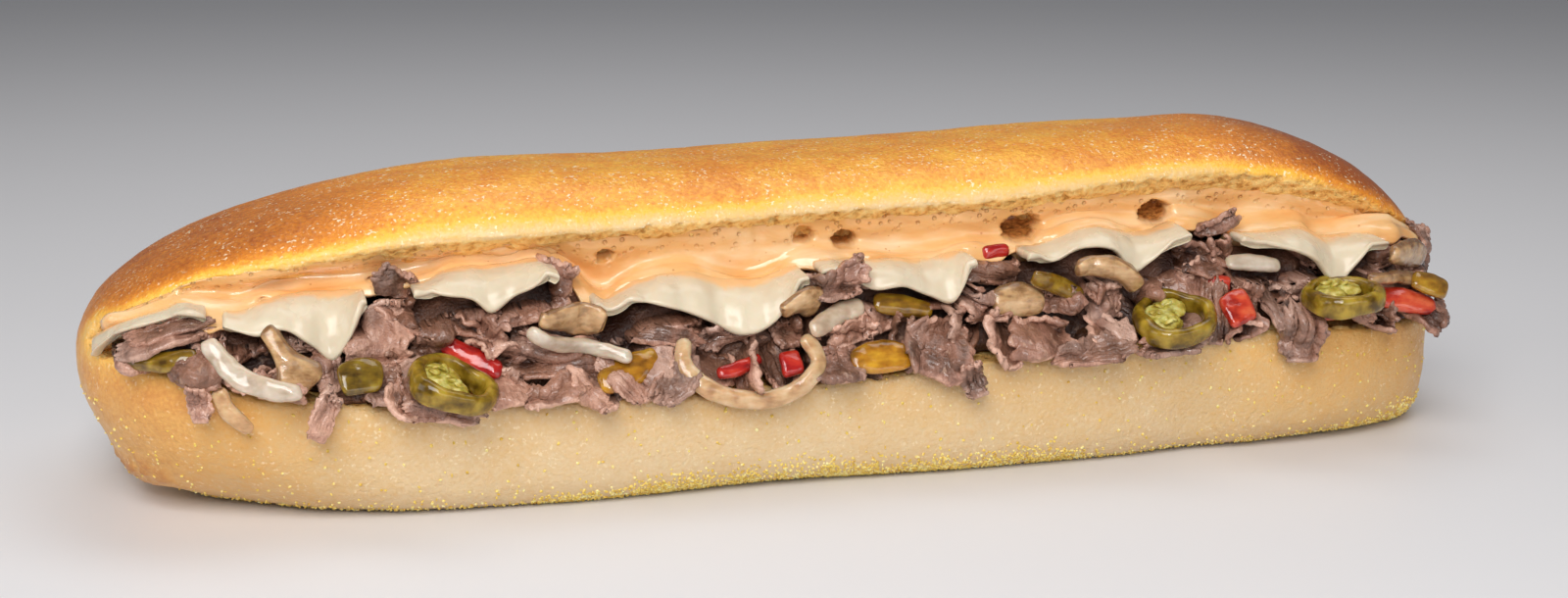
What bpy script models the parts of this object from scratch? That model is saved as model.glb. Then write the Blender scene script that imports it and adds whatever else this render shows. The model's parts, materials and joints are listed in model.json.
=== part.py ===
"""A submarine sandwich: a long roll, slit along its front, round its left end and right through its right
end, and filled with shaved steak, cheese slices, pickled peppers, onion and mushroom under a creamy sauce.

Sizes are in metres. X runs along the roll, the filling faces -Y and Z is up. The origin is the middle of
the flat base that the roll rests on.
"""

import math
import random

import bmesh
import bpy
from mathutils import Vector, noise
from mathutils.bvhtree import BVHTree

MM = 0.001
GAP = 0.4 * MM

# The roll: a 12 inch loaf, as it lies with its mouth open
ROLL_LEFT = -153 * MM
ROLL_RIGHT = 145.5 * MM
FRONT_HALF_LOW = 41 * MM
FRONT_HALF_HIGH = 36.5 * MM
BACK_HALF = 40 * MM
BASE_SINK = 1.2 * MM
CROWN_POWER = 3.4
WAIST_LEFT = 28.5 * MM
WAIST_RIGHT = 25 * MM
ROLL_RINGS = 30
ROLL_SIDES = 26

# Heights along the roll, as (x, z) in millimetres: the crown, the top lip and the bottom lip of the mouth
CROWN = ((-152, 62), (-100, 62.8), (-60, 64.8), (0, 65.2), (60, 67.2), (100, 68.5), (146, 67))
TOP_LIP = (
    (-153, 35),
    (-146, 40),
    (-135, 45.5),
    (-126, 49),
    (-110, 51.3),
    (-84, 54),
    (-45, 55.2),
    (-8, 56.5),
    (34, 57.2),
    (60, 58.9),
    (87, 60.5),
    (102, 58.8),
    (117, 54.5),
    (133, 46.5),
    (146, 40),
)
BOTTOM_LIP = (
    (-153, 33),
    (-145, 33),
    (-134, 32),
    (-124, 29),
    (-107, 25.5),
    (-92, 24),
    (-55, 22.6),
    (0, 22.6),
    (22, 24.3),
    (49, 25),
    (94, 27),
    (118, 26.5),
    (131, 25.5),
    (146, 22),
)

# The hinge of uncut bread runs along the back and curves to the front at the left end
HINGE_Y = 26 * MM
HINGE_LEFT_Y = -9 * MM
HINGE_TURNS_AT = -105 * MM
HINGE_Z = 31.5 * MM
MOUTH_LEFT = -149 * MM
MOUTH_RIGHT = 148 * MM
MOUTH_STATIONS = 36
LAYER_STEPS = 4
DRAPE_STEPS = 3
MOUTH_CURL = 2.2
MOUTH_SHARES = (0, 0.06, 0.14, 0.25, 0.4, 0.6, 0.8, 1)

# The layers in the mouth, from the top bun's crumb down
SAUCE_DEPTH = 2.2 * MM
CHEESE_THICK = 1.8 * MM
CREST_DROP = 6.3 * MM
CREST_SHARE = 0.5
CREST_SET_BACK = 12.5 * MM
DRAPE_CLEAR = 4 * MM
DEEP_SHARE = 0.8
LEAST_HEAP = 2.2 * MM

SAUCE_LEFT = -142 * MM
SAUCE_RIGHT = 134 * MM

# The bare core of the steak heap: how far it stands behind the bottom bun's front, and its folds
CORE_SET_BACK = 7 * MM
CORE_LEFT = -145 * MM
CORE_RIGHT = 141 * MM
CORE_STATIONS = 56
CORE_ROWS = 6
CRUMPLE = 2.6 * MM

# Cheese slices: left and right edge, then how far the front edge hangs below the crest, all in millimetres
CHEESE_SLICES = (
    (-144, -126.5, (3, 2, 1.5, 1, 1)),
    (-122.5, -97.5, (5, 4.5, 6, 9.5, 1)),
    (-87, -60, (1, 2.5, 5.5, 4, -0.5)),
    (-52, -9, (3, 4, 5.5, 10, -1)),
    (-5, 27, (0.5, 4.5, 4, 6.5, -0.5)),
    (39.5, 75, (2, 1, 4, 6, -0.5)),
    (88, 122, (2, 4, 5, 11, 0.5)),
)

# Pores of the crumb that show through the sauce: place along the roll, share of the way in, radius
PORES = (
    (-116, 0.17, 1.6),
    (-95, 0.17, 1.5),
    (-49, 0.13, 1.4),
    (-7, 0.11, 1.6),
    (2, 0.14, 2.0),
    (41, 0.14, 3.0),
    (72, 0.14, 2.7),
)

# Strips of topping that lie on the front of the heap. Each has its path as (x, z), its width at even
# steps along the path, its thickness and how much it bows outwards, all in millimetres
PEPPERS = {
    "pepper_a": (((-143, 34.8), (-136, 34.6), (-129, 35.9)), (2, 3.4, 2), 1.8, 0.5),
    "pepper_b": (((-103, 30), (-99, 31), (-95, 30)), (5, 6.5, 4.5), 1.8, 0.6),
    "pepper_d": (((-53, 26), (-46.3, 28), (-40.6, 29.9)), (3.5, 5.5, 3.5), 1.8, 0.8),
    "pepper_e": (((5.8, 37.4), (11.8, 36.4), (17.9, 35)), (2.5, 4, 2.5), 2, 0.8),
    "pepper_f": (((-1, 27), (5.6, 27.7), (11.5, 27.3)), (3.5, 6, 3.5), 1.8, 0.5),
    "pepper_g": (((38.7, 42), (44.1, 39.9), (51.1, 36.4)), (2.5, 3.8, 2.5), 1.8, 0.8),
    "pepper_j": (((127, 36.5), (131.5, 35), (135, 33.5)), (3, 4.5, 3), 1.8, 0.5),
}
REDS = {
    "red_a": (((-82.7, 34.6), (-77.2, 31.6), (-72, 29.2)), (2.6, 4, 3), 2, 0.6),
    "red_b": (((-29, 26.5), (-24.8, 26.9), (-19.5, 28.5)), (1.8, 2.2, 1.8), 2, 0.2),
    "red_c": (((-15.7, 27.2), (-11.6, 27.6)), (4, 4), 2, 0.3),
    "red_e": (((31, 45.6), (37, 46)), (3, 3), 2, 0.3),
    "red_f": (((80, 37.8), (85, 36.8)), (3.4, 3), 2, 0.3),
    "red_g": (((81.7, 31.9), (88, 33.7)), (5.5, 6), 2, 0.5),
    "red_h": (((101, 30.5), (107.5, 31.3)), (2.8, 3.2), 2, 0.3),
    "red_i": (((117.7, 32.9), (124.5, 32), (132, 30.3)), (2.8, 4.6, 2.8), 2.2, 0.8),
}
ONIONS = {
    "onion_a": (
        ((-127, 38.7), (-124.5, 34.9), (-121, 32.1), (-116, 30.5), (-110.7, 29.9)),
        (2.4, 3.2, 3.4, 3.2, 2),
        1.7,
        0.3,
    ),
    "onion_b": (((-125.5, 30), (-124, 25.6), (-120, 21.9)), (2.2, 2.8, 2), 1.4, 0.2),
    "onion_c": (((-66.5, 38.1), (-62, 34.8), (-54.6, 33.2), (-46.5, 31.1)), (1.8, 2.2, 2.4, 1.8), 1.6, 0.2),
    "onion_d": (
        ((-34.5, 32.9), (-35.9, 28.9), (-33, 24.9), (-25.8, 21.6))
        + ((-17, 21.1), (-10.5, 24.5), (-7.7, 28.2), (-10.8, 32.4)),
        (2.4, 3, 3, 3, 3, 3, 2.8, 2),
        1.7,
        0.2,
    ),
    "onion_e": (((-9.3, 34), (-3.3, 35.8), (3.3, 36.8)), (2.4, 4.2, 2.6), 1.5, 0.3),
    "onion_f": (((85.3, 41.4), (91.3, 41), (97.3, 40)), (2, 2.6, 1.8), 1.6, 0.2),
}
MUSHROOMS = {
    "mushroom_a": (((-116, 40), (-112, 33.5), (-109.5, 29)), (3, 3.2, 3.6, 8, 9, 6.5), 2, 0.3),
    "mushroom_b": (((-64.3, 39.8), (-58, 39.2), (-51.5, 38)), (3, 3.4, 6.2, 7, 5), 2, 0.3),
    "mushroom_c": (((-15.3, 38.2), (-11.1, 39.7), (-6.7, 38.9)), (2.6, 3.2, 6.5, 5.5), 2, 0.3),
    "mushroom_d": (((48.2, 43.4), (52.8, 43.8), (58.4, 42.4), (62.1, 38.4)), (3, 4, 4.4, 3), 2, 0.4),
    "mushroom_e": (((31.4, 35.9), (37, 36.4), (42.5, 35.4)), (4, 7, 4.4), 2, 0.3),
    "mushroom_f": (((121, 42.3), (128, 41.6), (135, 39)), (3, 5, 6.4, 3.6), 2, 0.4),
    "mushroom_g": (((114.5, 38), (126, 36.8), (137.5, 32.5)), (1.8, 2.4, 2), 1.8, 0.2),
}

# Pepper rings: centre as (x, z), radius across and up, how far the ring leans out, turn in degrees, arc
RINGS = {
    "pepper_c": ((-82.2, 28.9), 7.4, 5.8, 2.6, -14, 360),
    "pepper_h": ((69.7, 32.6), 7, 6.6, 0.8, 60, 300),
    "pepper_i": ((107, 34.9), 7.6, 4.4, 2.4, -6, 360),
}
RING_WALL = 2.4 * MM
RING_HEIGHT = 3 * MM
COVER_SLOPE = 0.8

# Shavings of steak that stand out in the heap, in millimetres and degrees: where each comes out of the
# core as (x, z), its width and length, its direction from straight down towards +X, how far it stands out
SHAVINGS = (
    (-138, 37, 8, 9, 80, 2.2),
    (-131, 36, 9, 16, 10, 2.4),
    (-104, 30, 7, 13, 0, 2.6),
    (-92, 42, 9, 11, 60, 1.5),
    (-92, 37, 12, 10, 40, 2.6),
    (-90, 31, 8, 11, 50, 2.0),
    (-74, 31, 9, 10, 50, 2.4),
    (-62, 44, 7, 8, 150, 2.0),
    (-68, 33, 14, 11, 50, 2.0),
    (-57, 32, 10, 13, 40, 1.6),
    (-44, 37, 11, 14, 70, 1.8),
    (-42, 31, 10, 13, 30, 2.0),
    (-31, 34, 8, 9, 25, 1.8),
    (-20, 34, 8, 10, 15, 2.0),
    (-7, 42, 8, 8, 150, 1.6),
    (0, 33, 10, 8, 80, 2.2),
    (1, 43, 7, 7, 170, 1.6),
    (15, 33, 15, 17, 20, 2.4),
    (30, 41, 10, 12, 100, 1.8),
    (24, 37, 9, 14, 50, 2.2),
    (33, 32.5, 14, 14, 55, 1.8),
    (46, 34.5, 11, 13, 85, 2.2),
    (50, 31, 10, 14, 20, 1.8),
    (58, 37, 8, 10, 50, 1.8),
    (60, 30, 9, 9, 0, 2.0),
    (78, 41, 10, 12, 150, 1.8),
    (78, 34, 9, 12, 20, 2.2),
    (88, 38, 9, 12, 20, 2.0),
    (93, 34, 10, 15, 20, 2.4),
    (92, 43, 8, 8, 120, 1.4),
    (101, 32, 9, 12, 30, 2.0),
    (113, 33.5, 9, 12, 20, 2.0),
    (120, 30.5, 10, 12, 60, 2.2),
    (133, 37, 8, 10, 60, 2.2),
    (134, 33, 8, 9, 80, 2.4),
)
SHAVING_THICK = 1.7 * MM

# Smaller shavings are scattered over the rest of the heap, at least this far apart in millimetres
FILL_TRIES = 2500
FILL_SPACING = 5.7
FILL_SEED = 7

# How often a shaving is tried, each time more loosely placed and smaller, before it is left out
TRIALS = 16
MOST_HIDDEN = 0.35


def smooth(share):
    share = min(max(share, 0.0), 1.0)
    return share * share * (3 - 2 * share)


def through(points, share):
    """The place at this share of a smooth curve through points, which are tuples of any length."""
    last = len(points) - 1
    position = min(max(share, 0.0), 1.0) * last
    i = min(int(position), last - 1)
    t = position - i
    before, start, end, after = (points[min(max(k, 0), last)] for k in (i - 1, i, i + 1, i + 2))
    place = []
    for a, b, c, d in zip(before, start, end, after):
        place.append(b + 0.5 * t * (c - a + t * (2 * a - 5 * b + 4 * c - d + t * (3 * (b - c) + d - a))))
    return place


def along(stations, x):
    """The height in metres at x of a smooth line through stations given in millimetres."""
    x = min(max(x / MM, stations[0][0]), stations[-1][0])
    last = len(stations) - 1
    i = max(k for k in range(last) if stations[k][0] <= x)
    (x0, z0), (x1, z1) = stations[i], stations[i + 1]
    xa, za = stations[max(i - 1, 0)]
    xb, zb = stations[min(i + 2, last)]
    slope_0 = (z1 - za) / (x1 - xa)
    slope_1 = (zb - z0) / (xb - x0)
    span = x1 - x0
    t = (x - x0) / span
    rise = (z1 - z0) * smooth(t) + span * t * (1 - t) * (slope_0 * (1 - t) - slope_1 * t)
    return (z0 + rise) * MM


def taper(distance, reach, power):
    """How full the roll is at this distance from its end: 0 at the tip, 1 past the reach of its rounding."""
    away = min(max(1 - distance / reach, 0.0), 1.0)
    return (1 - away**power) ** (1 / power)


def width_share(x):
    left = taper(x - ROLL_LEFT, 44 * MM, 2.3)
    return left * taper(ROLL_RIGHT + 1.5 * MM - x, 44 * MM, 2.3)


def crown_share(x):
    left = taper(x - ROLL_LEFT, 86 * MM, 2.15)
    return left * taper(ROLL_RIGHT + 2 * MM - x, 57 * MM, 1.9)


def base_share(x):
    left = taper(x - ROLL_LEFT, 30 * MM, 1.9)
    return left * taper(ROLL_RIGHT + 1.2 * MM - x, 11 * MM, 2.4)


def waist(x):
    return WAIST_LEFT + (WAIST_RIGHT - WAIST_LEFT) * (x - ROLL_LEFT) / (ROLL_RIGHT - ROLL_LEFT)


def foot_power(x):
    """How square the front is low down: a tight curve to the base along the middle, rounder at the ends."""
    left = 2.3 + 4.2 * smooth((x - ROLL_LEFT - 25 * MM) / (50 * MM))
    right = 5.0 + 1.5 * smooth((ROLL_RIGHT - x - 30 * MM) / (50 * MM))
    return min(left, right)


def crown(x):
    return waist(x) + (along(CROWN, x) - waist(x)) * crown_share(x)


def base(x):
    return waist(x) - (waist(x) + BASE_SINK) * base_share(x)


def front_half(x, z):
    high = smooth((z - 24 * MM) / (28 * MM))
    return (FRONT_HALF_LOW + (FRONT_HALF_HIGH - FRONT_HALF_LOW) * high) * width_share(x)


def front_edge(x, z):
    """The Y of the crust's front at this height."""
    if z >= waist(x):
        rise = (z - waist(x)) / max(crown(x) - waist(x), MM)
        power = CROWN_POWER
    else:
        rise = (waist(x) - z) / max(waist(x) - base(x), MM)
        power = foot_power(x)
    return -front_half(x, z) * (1 - min(rise, 0.98) ** power) ** (1 / power)


def unevenness(x, y, z):
    """Soft swellings and hollows of a hand-shaped loaf, and the torn seam low on its left end."""
    swell = 0.45 * MM * math.sin(x / (19 * MM) + y / (31 * MM))
    swell += 0.3 * MM * math.sin(x / (11 * MM) - z / (17 * MM))
    if y < 0:
        swell -= 2.2 * MM * math.exp(-(((x - 77 * MM) / (11 * MM)) ** 2) - ((z - 7 * MM) / (8 * MM)) ** 2)
    seam = math.exp(-(((x + 146 * MM) / (9 * MM)) ** 2) - ((z - 7 * MM) / (4.5 * MM)) ** 2)
    return swell + 4 * MM * seam


def crust_point(x, angle):
    """A point of the crust's section at x. The angle runs from the back over the crown to the front."""
    c, s = math.cos(angle), math.sin(angle)
    if s >= 0:
        power = 2.3 if c >= 0 else CROWN_POWER
        reach_z = crown(x) - waist(x)
    else:
        power = 3.2 if c >= 0 else foot_power(x)
        reach_z = waist(x) - base(x)
    z = waist(x) + math.copysign(abs(s) ** (2 / power), s) * reach_z
    half = BACK_HALF * width_share(x) if c >= 0 else front_half(x, z)
    y = math.copysign(abs(c) ** (2 / power), c) * half
    push = unevenness(x, y, z) * min(1.0, width_share(x) * 1.5)
    return Vector((x, y + push * c, z + push * s * 0.8))


def hinge_y(x):
    return HINGE_Y + (HINGE_LEFT_Y - HINGE_Y) * smooth((HINGE_TURNS_AT - x) / (44 * MM))


def depth_y(x, share):
    """The Y at this depth into the mouth: 0 at its lip and 1 at the hinge."""
    lip = front_edge(x, along(TOP_LIP, x))
    return lip + share * (hinge_y(x) - lip)


def depth_share(x, y):
    lip = front_edge(x, along(TOP_LIP, x))
    return (y - lip) / (hinge_y(x) - lip)


def mouth_top(x, share):
    """Height of the top bun's crumb, carried on past the lip at a steady slope."""
    rise = along(TOP_LIP, x) - HINGE_Z - 1.5 * MM
    if share < 0:
        return along(TOP_LIP, x) - share * rise * MOUTH_CURL * 0.8
    return HINGE_Z + 1.5 * MM + rise * (1 - share) ** MOUTH_CURL


def mouth_floor(x, share):
    lip = along(BOTTOM_LIP, x)
    return lip + (HINGE_Z - 1.5 * MM - lip) * max(share, 0.0) ** 4


def heap_front(x):
    """How far the filling bulges: level with the bottom bun's lip, and past it at the open right end."""
    left = taper(x - ROLL_LEFT, 44 * MM, 2.3)
    return -FRONT_HALF_LOW * left * taper(ROLL_RIGHT + 1.5 * MM - x, 20 * MM, 2.3)


def fullness(x):
    """How much of their full depth the layers have: less where the mouth is shallow."""
    return min(1.0, (hinge_y(x) - heap_front(x)) / (62 * MM))


def crest_y(x):
    return heap_front(x) + CREST_SET_BACK * fullness(x)


def core_y(x):
    return heap_front(x) + CORE_SET_BACK * fullness(x)


def sauce_depth(x):
    return SAUCE_DEPTH * (0.35 + 0.65 * fullness(x) ** 2)


def crest_share(x):
    return max(depth_share(x, crest_y(x)), 0.04)


def heap_top(x, share):
    """Height of the steak heap under the cheese: it drops a little more towards its front crest."""
    opening = along(TOP_LIP, x) - along(BOTTOM_LIP, x)
    drop = CREST_DROP * min(1.0, max(0.0, (opening - 9 * MM) / (14 * MM)))
    drop *= 0.25 + 0.75 * smooth((ROLL_RIGHT - 8 * MM - x) / (35 * MM))
    drop *= 1 - smooth(share / CREST_SHARE)
    return mouth_top(x, share) - sauce_depth(x) - CHEESE_THICK - 3 * GAP - drop


def deep_share(x):
    """How far in the layers run: as far as they leave room for some of the heap under them."""
    low, high = crest_share(x), DEEP_SHARE
    if heap_top(x, high) - mouth_floor(x, high) > LEAST_HEAP:
        return high
    for _ in range(20):
        middle = (low + high) / 2
        if heap_top(x, middle) - mouth_floor(x, middle) > LEAST_HEAP:
            low = middle
        else:
            high = middle
    return low


def layer_shares(x):
    """The depths at which the heap, the cheese and the sauce all have their points, from the crest inwards."""
    deep, crest = deep_share(x), crest_share(x)
    return [crest + (deep - crest) * k / LAYER_STEPS for k in range(LAYER_STEPS + 1)]


def face_y(x, z):
    """The Y of the heap's bare front at this height."""
    top = heap_top(x, crest_share(x))
    lean = smooth((z - top + 8 * MM) / (8 * MM))
    return core_y(x) + (crest_y(x) - core_y(x)) * lean


def drape_y(x, z):
    """The Y of something that lies on the heap's front and hangs over the bottom bun's lip."""
    over = heap_front(x) - 1.4 * MM
    return over + (face_y(x, z) - over) * smooth((z - along(BOTTOM_LIP, x) - 1.5 * MM) / (7 * MM))


def mesh_object(name, mesh, colour, roughness):
    """An object in the sandwich's collection with its own plain material."""
    material = bpy.data.materials.new(name)
    material.use_nodes = True
    shader = material.node_tree.nodes["Principled BSDF"]
    shader.inputs["Base Color"].default_value = (*colour, 1)
    shader.inputs["Roughness"].default_value = roughness
    mesh.materials.clear()
    mesh.materials.append(material)
    obj = bpy.data.objects.new(name, mesh)
    SANDWICH.objects.link(obj)
    return obj


def outward(mesh):
    """Turns the faces of a closed mesh outwards and splits them into triangles."""
    bm = bmesh.new()
    bm.from_mesh(mesh)
    bmesh.ops.triangulate(bm, faces=bm.faces)
    bmesh.ops.recalc_face_normals(bm, faces=bm.faces)
    bm.to_mesh(mesh)
    bm.free()
    return mesh


def loft(name, rings):
    """A closed mesh through rings of the same number of points, with a flat cap at each end."""
    count = len(rings[0])
    verts = [p for ring in rings for p in ring]
    faces = [tuple(range(count))[::-1], tuple(range(len(verts) - count, len(verts)))]
    for row in range(len(rings) - 1):
        for i in range(count):
            a = row * count + i
            b = row * count + (i + 1) % count
            faces.append((a, b, b + count, a + count))
    mesh = bpy.data.meshes.new(name)
    mesh.from_pydata(verts, [], faces)
    return outward(mesh)


def thin_solid(name, surface, steps_u, steps_v, thick, wrap=False):
    """A closed solid of even thickness on a surface, which is a function of two shares from 0 to 1."""
    eps = 1e-3
    count_u = steps_u if wrap else steps_u + 1
    over = []
    under = []
    for i in range(count_u):
        for j in range(steps_v + 1):
            u, v = i / steps_u, j / steps_v
            u0, v0 = min(u, 1 - eps), min(v, 1 - eps)
            du = surface(u0 + eps, v) - surface(u0, v)
            dv = surface(u, v0 + eps) - surface(u, v0)
            normal = du.cross(dv).normalized() * thick / 2
            over.append(surface(u, v) + normal)
            under.append(surface(u, v) - normal)
    total = len(over)
    faces = []

    def index(i, j):
        return (i % count_u) * (steps_v + 1) + j

    for i in range(steps_u):
        for j in range(steps_v):
            a, b, c, d = index(i, j), index(i + 1, j), index(i + 1, j + 1), index(i, j + 1)
            faces += [(a, b, c), (a, c, d)]
            faces += [(a + total, c + total, b + total), (a + total, d + total, c + total)]
        for j in (0, steps_v):
            a, b = index(i, j), index(i + 1, j)
            faces.append((a, b, b + total, a + total))
    if not wrap:
        for j in range(steps_v):
            for i in (0, steps_u):
                a, b = index(i, j), index(i, j + 1)
                faces.append((a, b, b + total, a + total))
    mesh = bpy.data.meshes.new(name)
    mesh.from_pydata(over + under, [], faces)
    return outward(mesh)


def cut(obj, cutters):
    """Takes each cutter out of the object."""
    for number, cutter in enumerate(cutters):
        modifier = obj.modifiers.new(f"cut_{number}", "BOOLEAN")
        modifier.operation = "DIFFERENCE"
        modifier.solver = "EXACT"
        modifier.object = cutter


def cutter_object(name, mesh):
    obj = bpy.data.objects.new(name, mesh)
    obj.hide_render = True
    obj.display_type = "WIRE"
    CUTTERS.objects.link(obj)
    return obj


def mouth_stations():
    """Places along the mouth that all its layers share, closer together at the left end."""
    span = MOUTH_RIGHT - MOUTH_LEFT
    return [MOUTH_LEFT + span * (i / (MOUTH_STATIONS - 1)) ** 1.15 for i in range(MOUTH_STATIONS)]


def block_mesh(name, size):
    bm = bmesh.new()
    bmesh.ops.create_cube(bm, size=1)
    bmesh.ops.scale(bm, vec=size, verts=bm.verts)
    mesh = bpy.data.meshes.new(name)
    bm.to_mesh(mesh)
    bm.free()
    return mesh


def pore_mesh(name, radius):
    bm = bmesh.new()
    bmesh.ops.create_uvsphere(bm, u_segments=8, v_segments=5, radius=radius)
    bmesh.ops.scale(bm, vec=(1.25, 1.1, 1.5), verts=bm.verts)
    mesh = bpy.data.meshes.new(name)
    bm.to_mesh(mesh)
    bm.free()
    return mesh


def make_pore_cutters():
    cutters = []
    for number, (x, share, radius) in enumerate(PORES):
        cutter = cutter_object(f"pore_{number}", pore_mesh(f"pore_{number}", radius * MM))
        x = x * MM
        cutter.location = (x, depth_y(x, share), mouth_top(x, share) - 0.4 * radius * MM)
        cutters.append(cutter)
    return cutters


def make_mouth_cutter():
    """The wedge between the buns, from past the right end to just short of the left end."""
    rings = []
    for x in mouth_stations():
        at = min(x, ROLL_RIGHT - 0.5 * MM)
        shares = (-0.45, *MOUTH_SHARES)
        upper = [(x, depth_y(at, s), mouth_top(at, s)) for s in shares]
        lower = [(x, depth_y(at, s), mouth_floor(at, s)) for s in reversed(shares)]
        rings.append(upper + lower)
    return cutter_object("mouth_cutter", loft("mouth_cutter", rings))


def make_roll(pores):
    rings = []
    for i in range(ROLL_RINGS):
        turn = (1 - math.cos(math.pi * i / (ROLL_RINGS - 1))) / 2
        x = ROLL_LEFT + 0.3 * MM + (ROLL_RIGHT - ROLL_LEFT - 0.6 * MM) * turn
        rings.append([crust_point(x, 2 * math.pi * (k + 0.5) / ROLL_SIDES) for k in range(ROLL_SIDES)])
    roll = mesh_object("roll", loft("roll", rings), (0.80, 0.50, 0.20), 0.6)
    floor_block = cutter_object("floor_block", block_mesh("floor_block", (400 * MM, 200 * MM, 20 * MM)))
    floor_block.location.z = -10 * MM
    cut(roll, [floor_block, make_mouth_cutter(), *pores])
    return roll


def cheese_surface(low, high, hang):
    """A slice from deep in the mouth over the heap's crest and down its front, u across and v forward."""
    crest_at = LAYER_STEPS / (LAYER_STEPS + DRAPE_STEPS)

    def surface(u, v):
        x = low + (high - low) * u
        crest = crest_share(x)
        if v < crest_at:
            deep = deep_share(x)
            share = deep + (crest - deep) * v / crest_at
            return Vector((x, depth_y(x, share), heap_top(x, share) + GAP + CHEESE_THICK / 2))
        start = Vector((x, depth_y(x, crest), heap_top(x, crest) + GAP + CHEESE_THICK / 2))
        drop = (v - crest_at) / (1 - crest_at)
        down = through([(h,) for h in hang], u)[0] * MM
        reach = start.y - core_y(x) + DRAPE_CLEAR * (0.3 + 0.7 * fullness(x))
        return start + Vector((0, -reach * math.sin(drop * math.pi / 2), -down * drop**1.7))

    return surface


def make_cheese():
    for letter, (low, high, hang) in zip("abcdefg", CHEESE_SLICES):
        surface = cheese_surface(low * MM, high * MM, hang)
        steps = 8 if high - low > 30 else 6
        mesh = thin_solid("cheese_" + letter, surface, steps, LAYER_STEPS + DRAPE_STEPS, CHEESE_THICK)
        mesh_object("cheese_" + letter, mesh, (0.85, 0.78, 0.55), 0.4)


def make_sauce(pores):
    """The sauce that coats the top bun's crumb and fills the angle between it and the cheese."""
    rise = 2 * GAP + CHEESE_THICK + 0.1 * MM
    rings = []
    for x in mouth_stations():
        if not SAUCE_LEFT < x < SAUCE_RIGHT:
            continue
        deep = deep_share(x)
        upper = [s for s in MOUTH_SHARES[1:] if s <= DEEP_SHARE]
        upper = [min(s, deep - (DEEP_SHARE - s) * 0.01) for s in upper]
        lower = layer_shares(x)[::-1]
        ring = [Vector((x, depth_y(x, s), mouth_top(x, s) - GAP)) for s in upper]
        ring += [Vector((x, depth_y(x, s), heap_top(x, s) + rise)) for s in lower]
        ring.append((ring[0] + ring[-1]) / 2 + Vector((0, 0.9 * MM, 0)))
        rings.append(ring)
    sauce = mesh_object("sauce", loft("sauce", rings), (0.85, 0.48, 0.20), 0.3)
    cut(sauce, pores)


def crumple(x, z):
    """How far the folded steak stands out of its heap's front here, in metres."""
    place = Vector((x / (6.5 * MM), 0.7, z / (5 * MM)))
    folds = 1 - 2.2 * abs(noise.noise(place))
    lumps = noise.noise(Vector((x / (15 * MM), 3.1, z / (9 * MM))))
    return CRUMPLE * max(0.0, folds * 0.75 + lumps * 0.9)


def make_core():
    """The steak heap without its shavings, from the bottom bun's crumb up to the cheese."""
    rings = []
    for i in range(CORE_STATIONS):
        x = CORE_LEFT + (CORE_RIGHT - CORE_LEFT) * i / (CORE_STATIONS - 1)
        full = fullness(x)
        deep = deep_share(x)
        floor = along(BOTTOM_LIP, x) + GAP
        top = heap_top(x, crest_share(x))
        shoulder = max(floor + (top - floor) * 0.6, top - 4 * MM * full)
        ring = []
        for k in range(CORE_ROWS):
            z = floor + (shoulder - floor) * k / (CORE_ROWS - 1)
            lean = (crest_y(x) - core_y(x)) * 0.4 * (k / (CORE_ROWS - 1)) ** 4
            fade = 1 - (k / (CORE_ROWS - 1)) ** 2
            ring.append(Vector((x, core_y(x) + lean - crumple(x, z) * fade * full, z)))
        # Where the mouth is shallow the cheese lies steeply, so it needs more room above the heap
        spare = (1 - full) * 1.5 * MM
        ring += [Vector((x, depth_y(x, s), heap_top(x, s) - spare)) for s in layer_shares(x)]
        start = depth_share(x, core_y(x))
        floor_shares = [deep + (start - deep) * k / 4 for k in range(4)]
        ring += [Vector((x, depth_y(x, s), mouth_floor(x, s) + GAP)) for s in floor_shares]
        rings.append(ring)
    return mesh_object("steak", loft("steak", rings), (0.36, 0.22, 0.17), 0.5)


def tree_of(objects):
    """One search tree of the finished surfaces of several objects."""
    graph = bpy.context.evaluated_depsgraph_get()
    bm = bmesh.new()
    for obj in objects:
        mesh = bpy.data.meshes.new_from_object(obj.evaluated_get(graph))
        bm.from_mesh(mesh)
        bpy.data.meshes.remove(mesh)
    tree = BVHTree.FromBMesh(bm)
    bm.free()
    return tree


def crosses(mesh, trees, spare):
    """True where the mesh, swollen by the spare distance, meets any of the trees."""
    bm = bmesh.new()
    bm.from_mesh(mesh)
    bm.normal_update()
    bare = BVHTree.FromBMesh(bm)
    for vert in bm.verts:
        vert.co += vert.normal * spare
    swollen = BVHTree.FromBMesh(bm)
    bm.free()
    return any(swollen.overlap(other) or bare.overlap(other) for other in trees)


def outermost(trees, x, z):
    """The Y of the first thing met at x and z from the front, or that of the heap's bare front."""
    y = drape_y(x, z)
    for tree in trees:
        place = tree.ray_cast(Vector((x, -200 * MM, z)), Vector((0, 1, 0)))[0]
        if place is not None:
            y = min(y, place.y)
    return y


def cover_of(trees, samples):
    """The outermost Y of what is there already, as a smooth function of x and z near the samples."""
    needs = [(x, z, outermost(trees, x, z)) for x, z in samples]

    def cover(x, z):
        near = min(y + COVER_SLOPE * math.hypot(x - a, z - b) for a, b, y in needs)
        return min(near, drape_y(x, z))

    return cover


def lay(name, build, trees, colour, roughness):
    """Places a topping on the heap: it is moved outwards until it touches nothing that is there already."""
    for step in range(40):
        mesh = build(step * 0.25 * MM)
        if not crosses(mesh, trees, GAP):
            obj = mesh_object(name, mesh, colour, roughness)
            trees.append(tree_of([obj]))
            return
        bpy.data.meshes.remove(mesh)
    raise ValueError(name + " finds no room on the heap")


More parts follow.
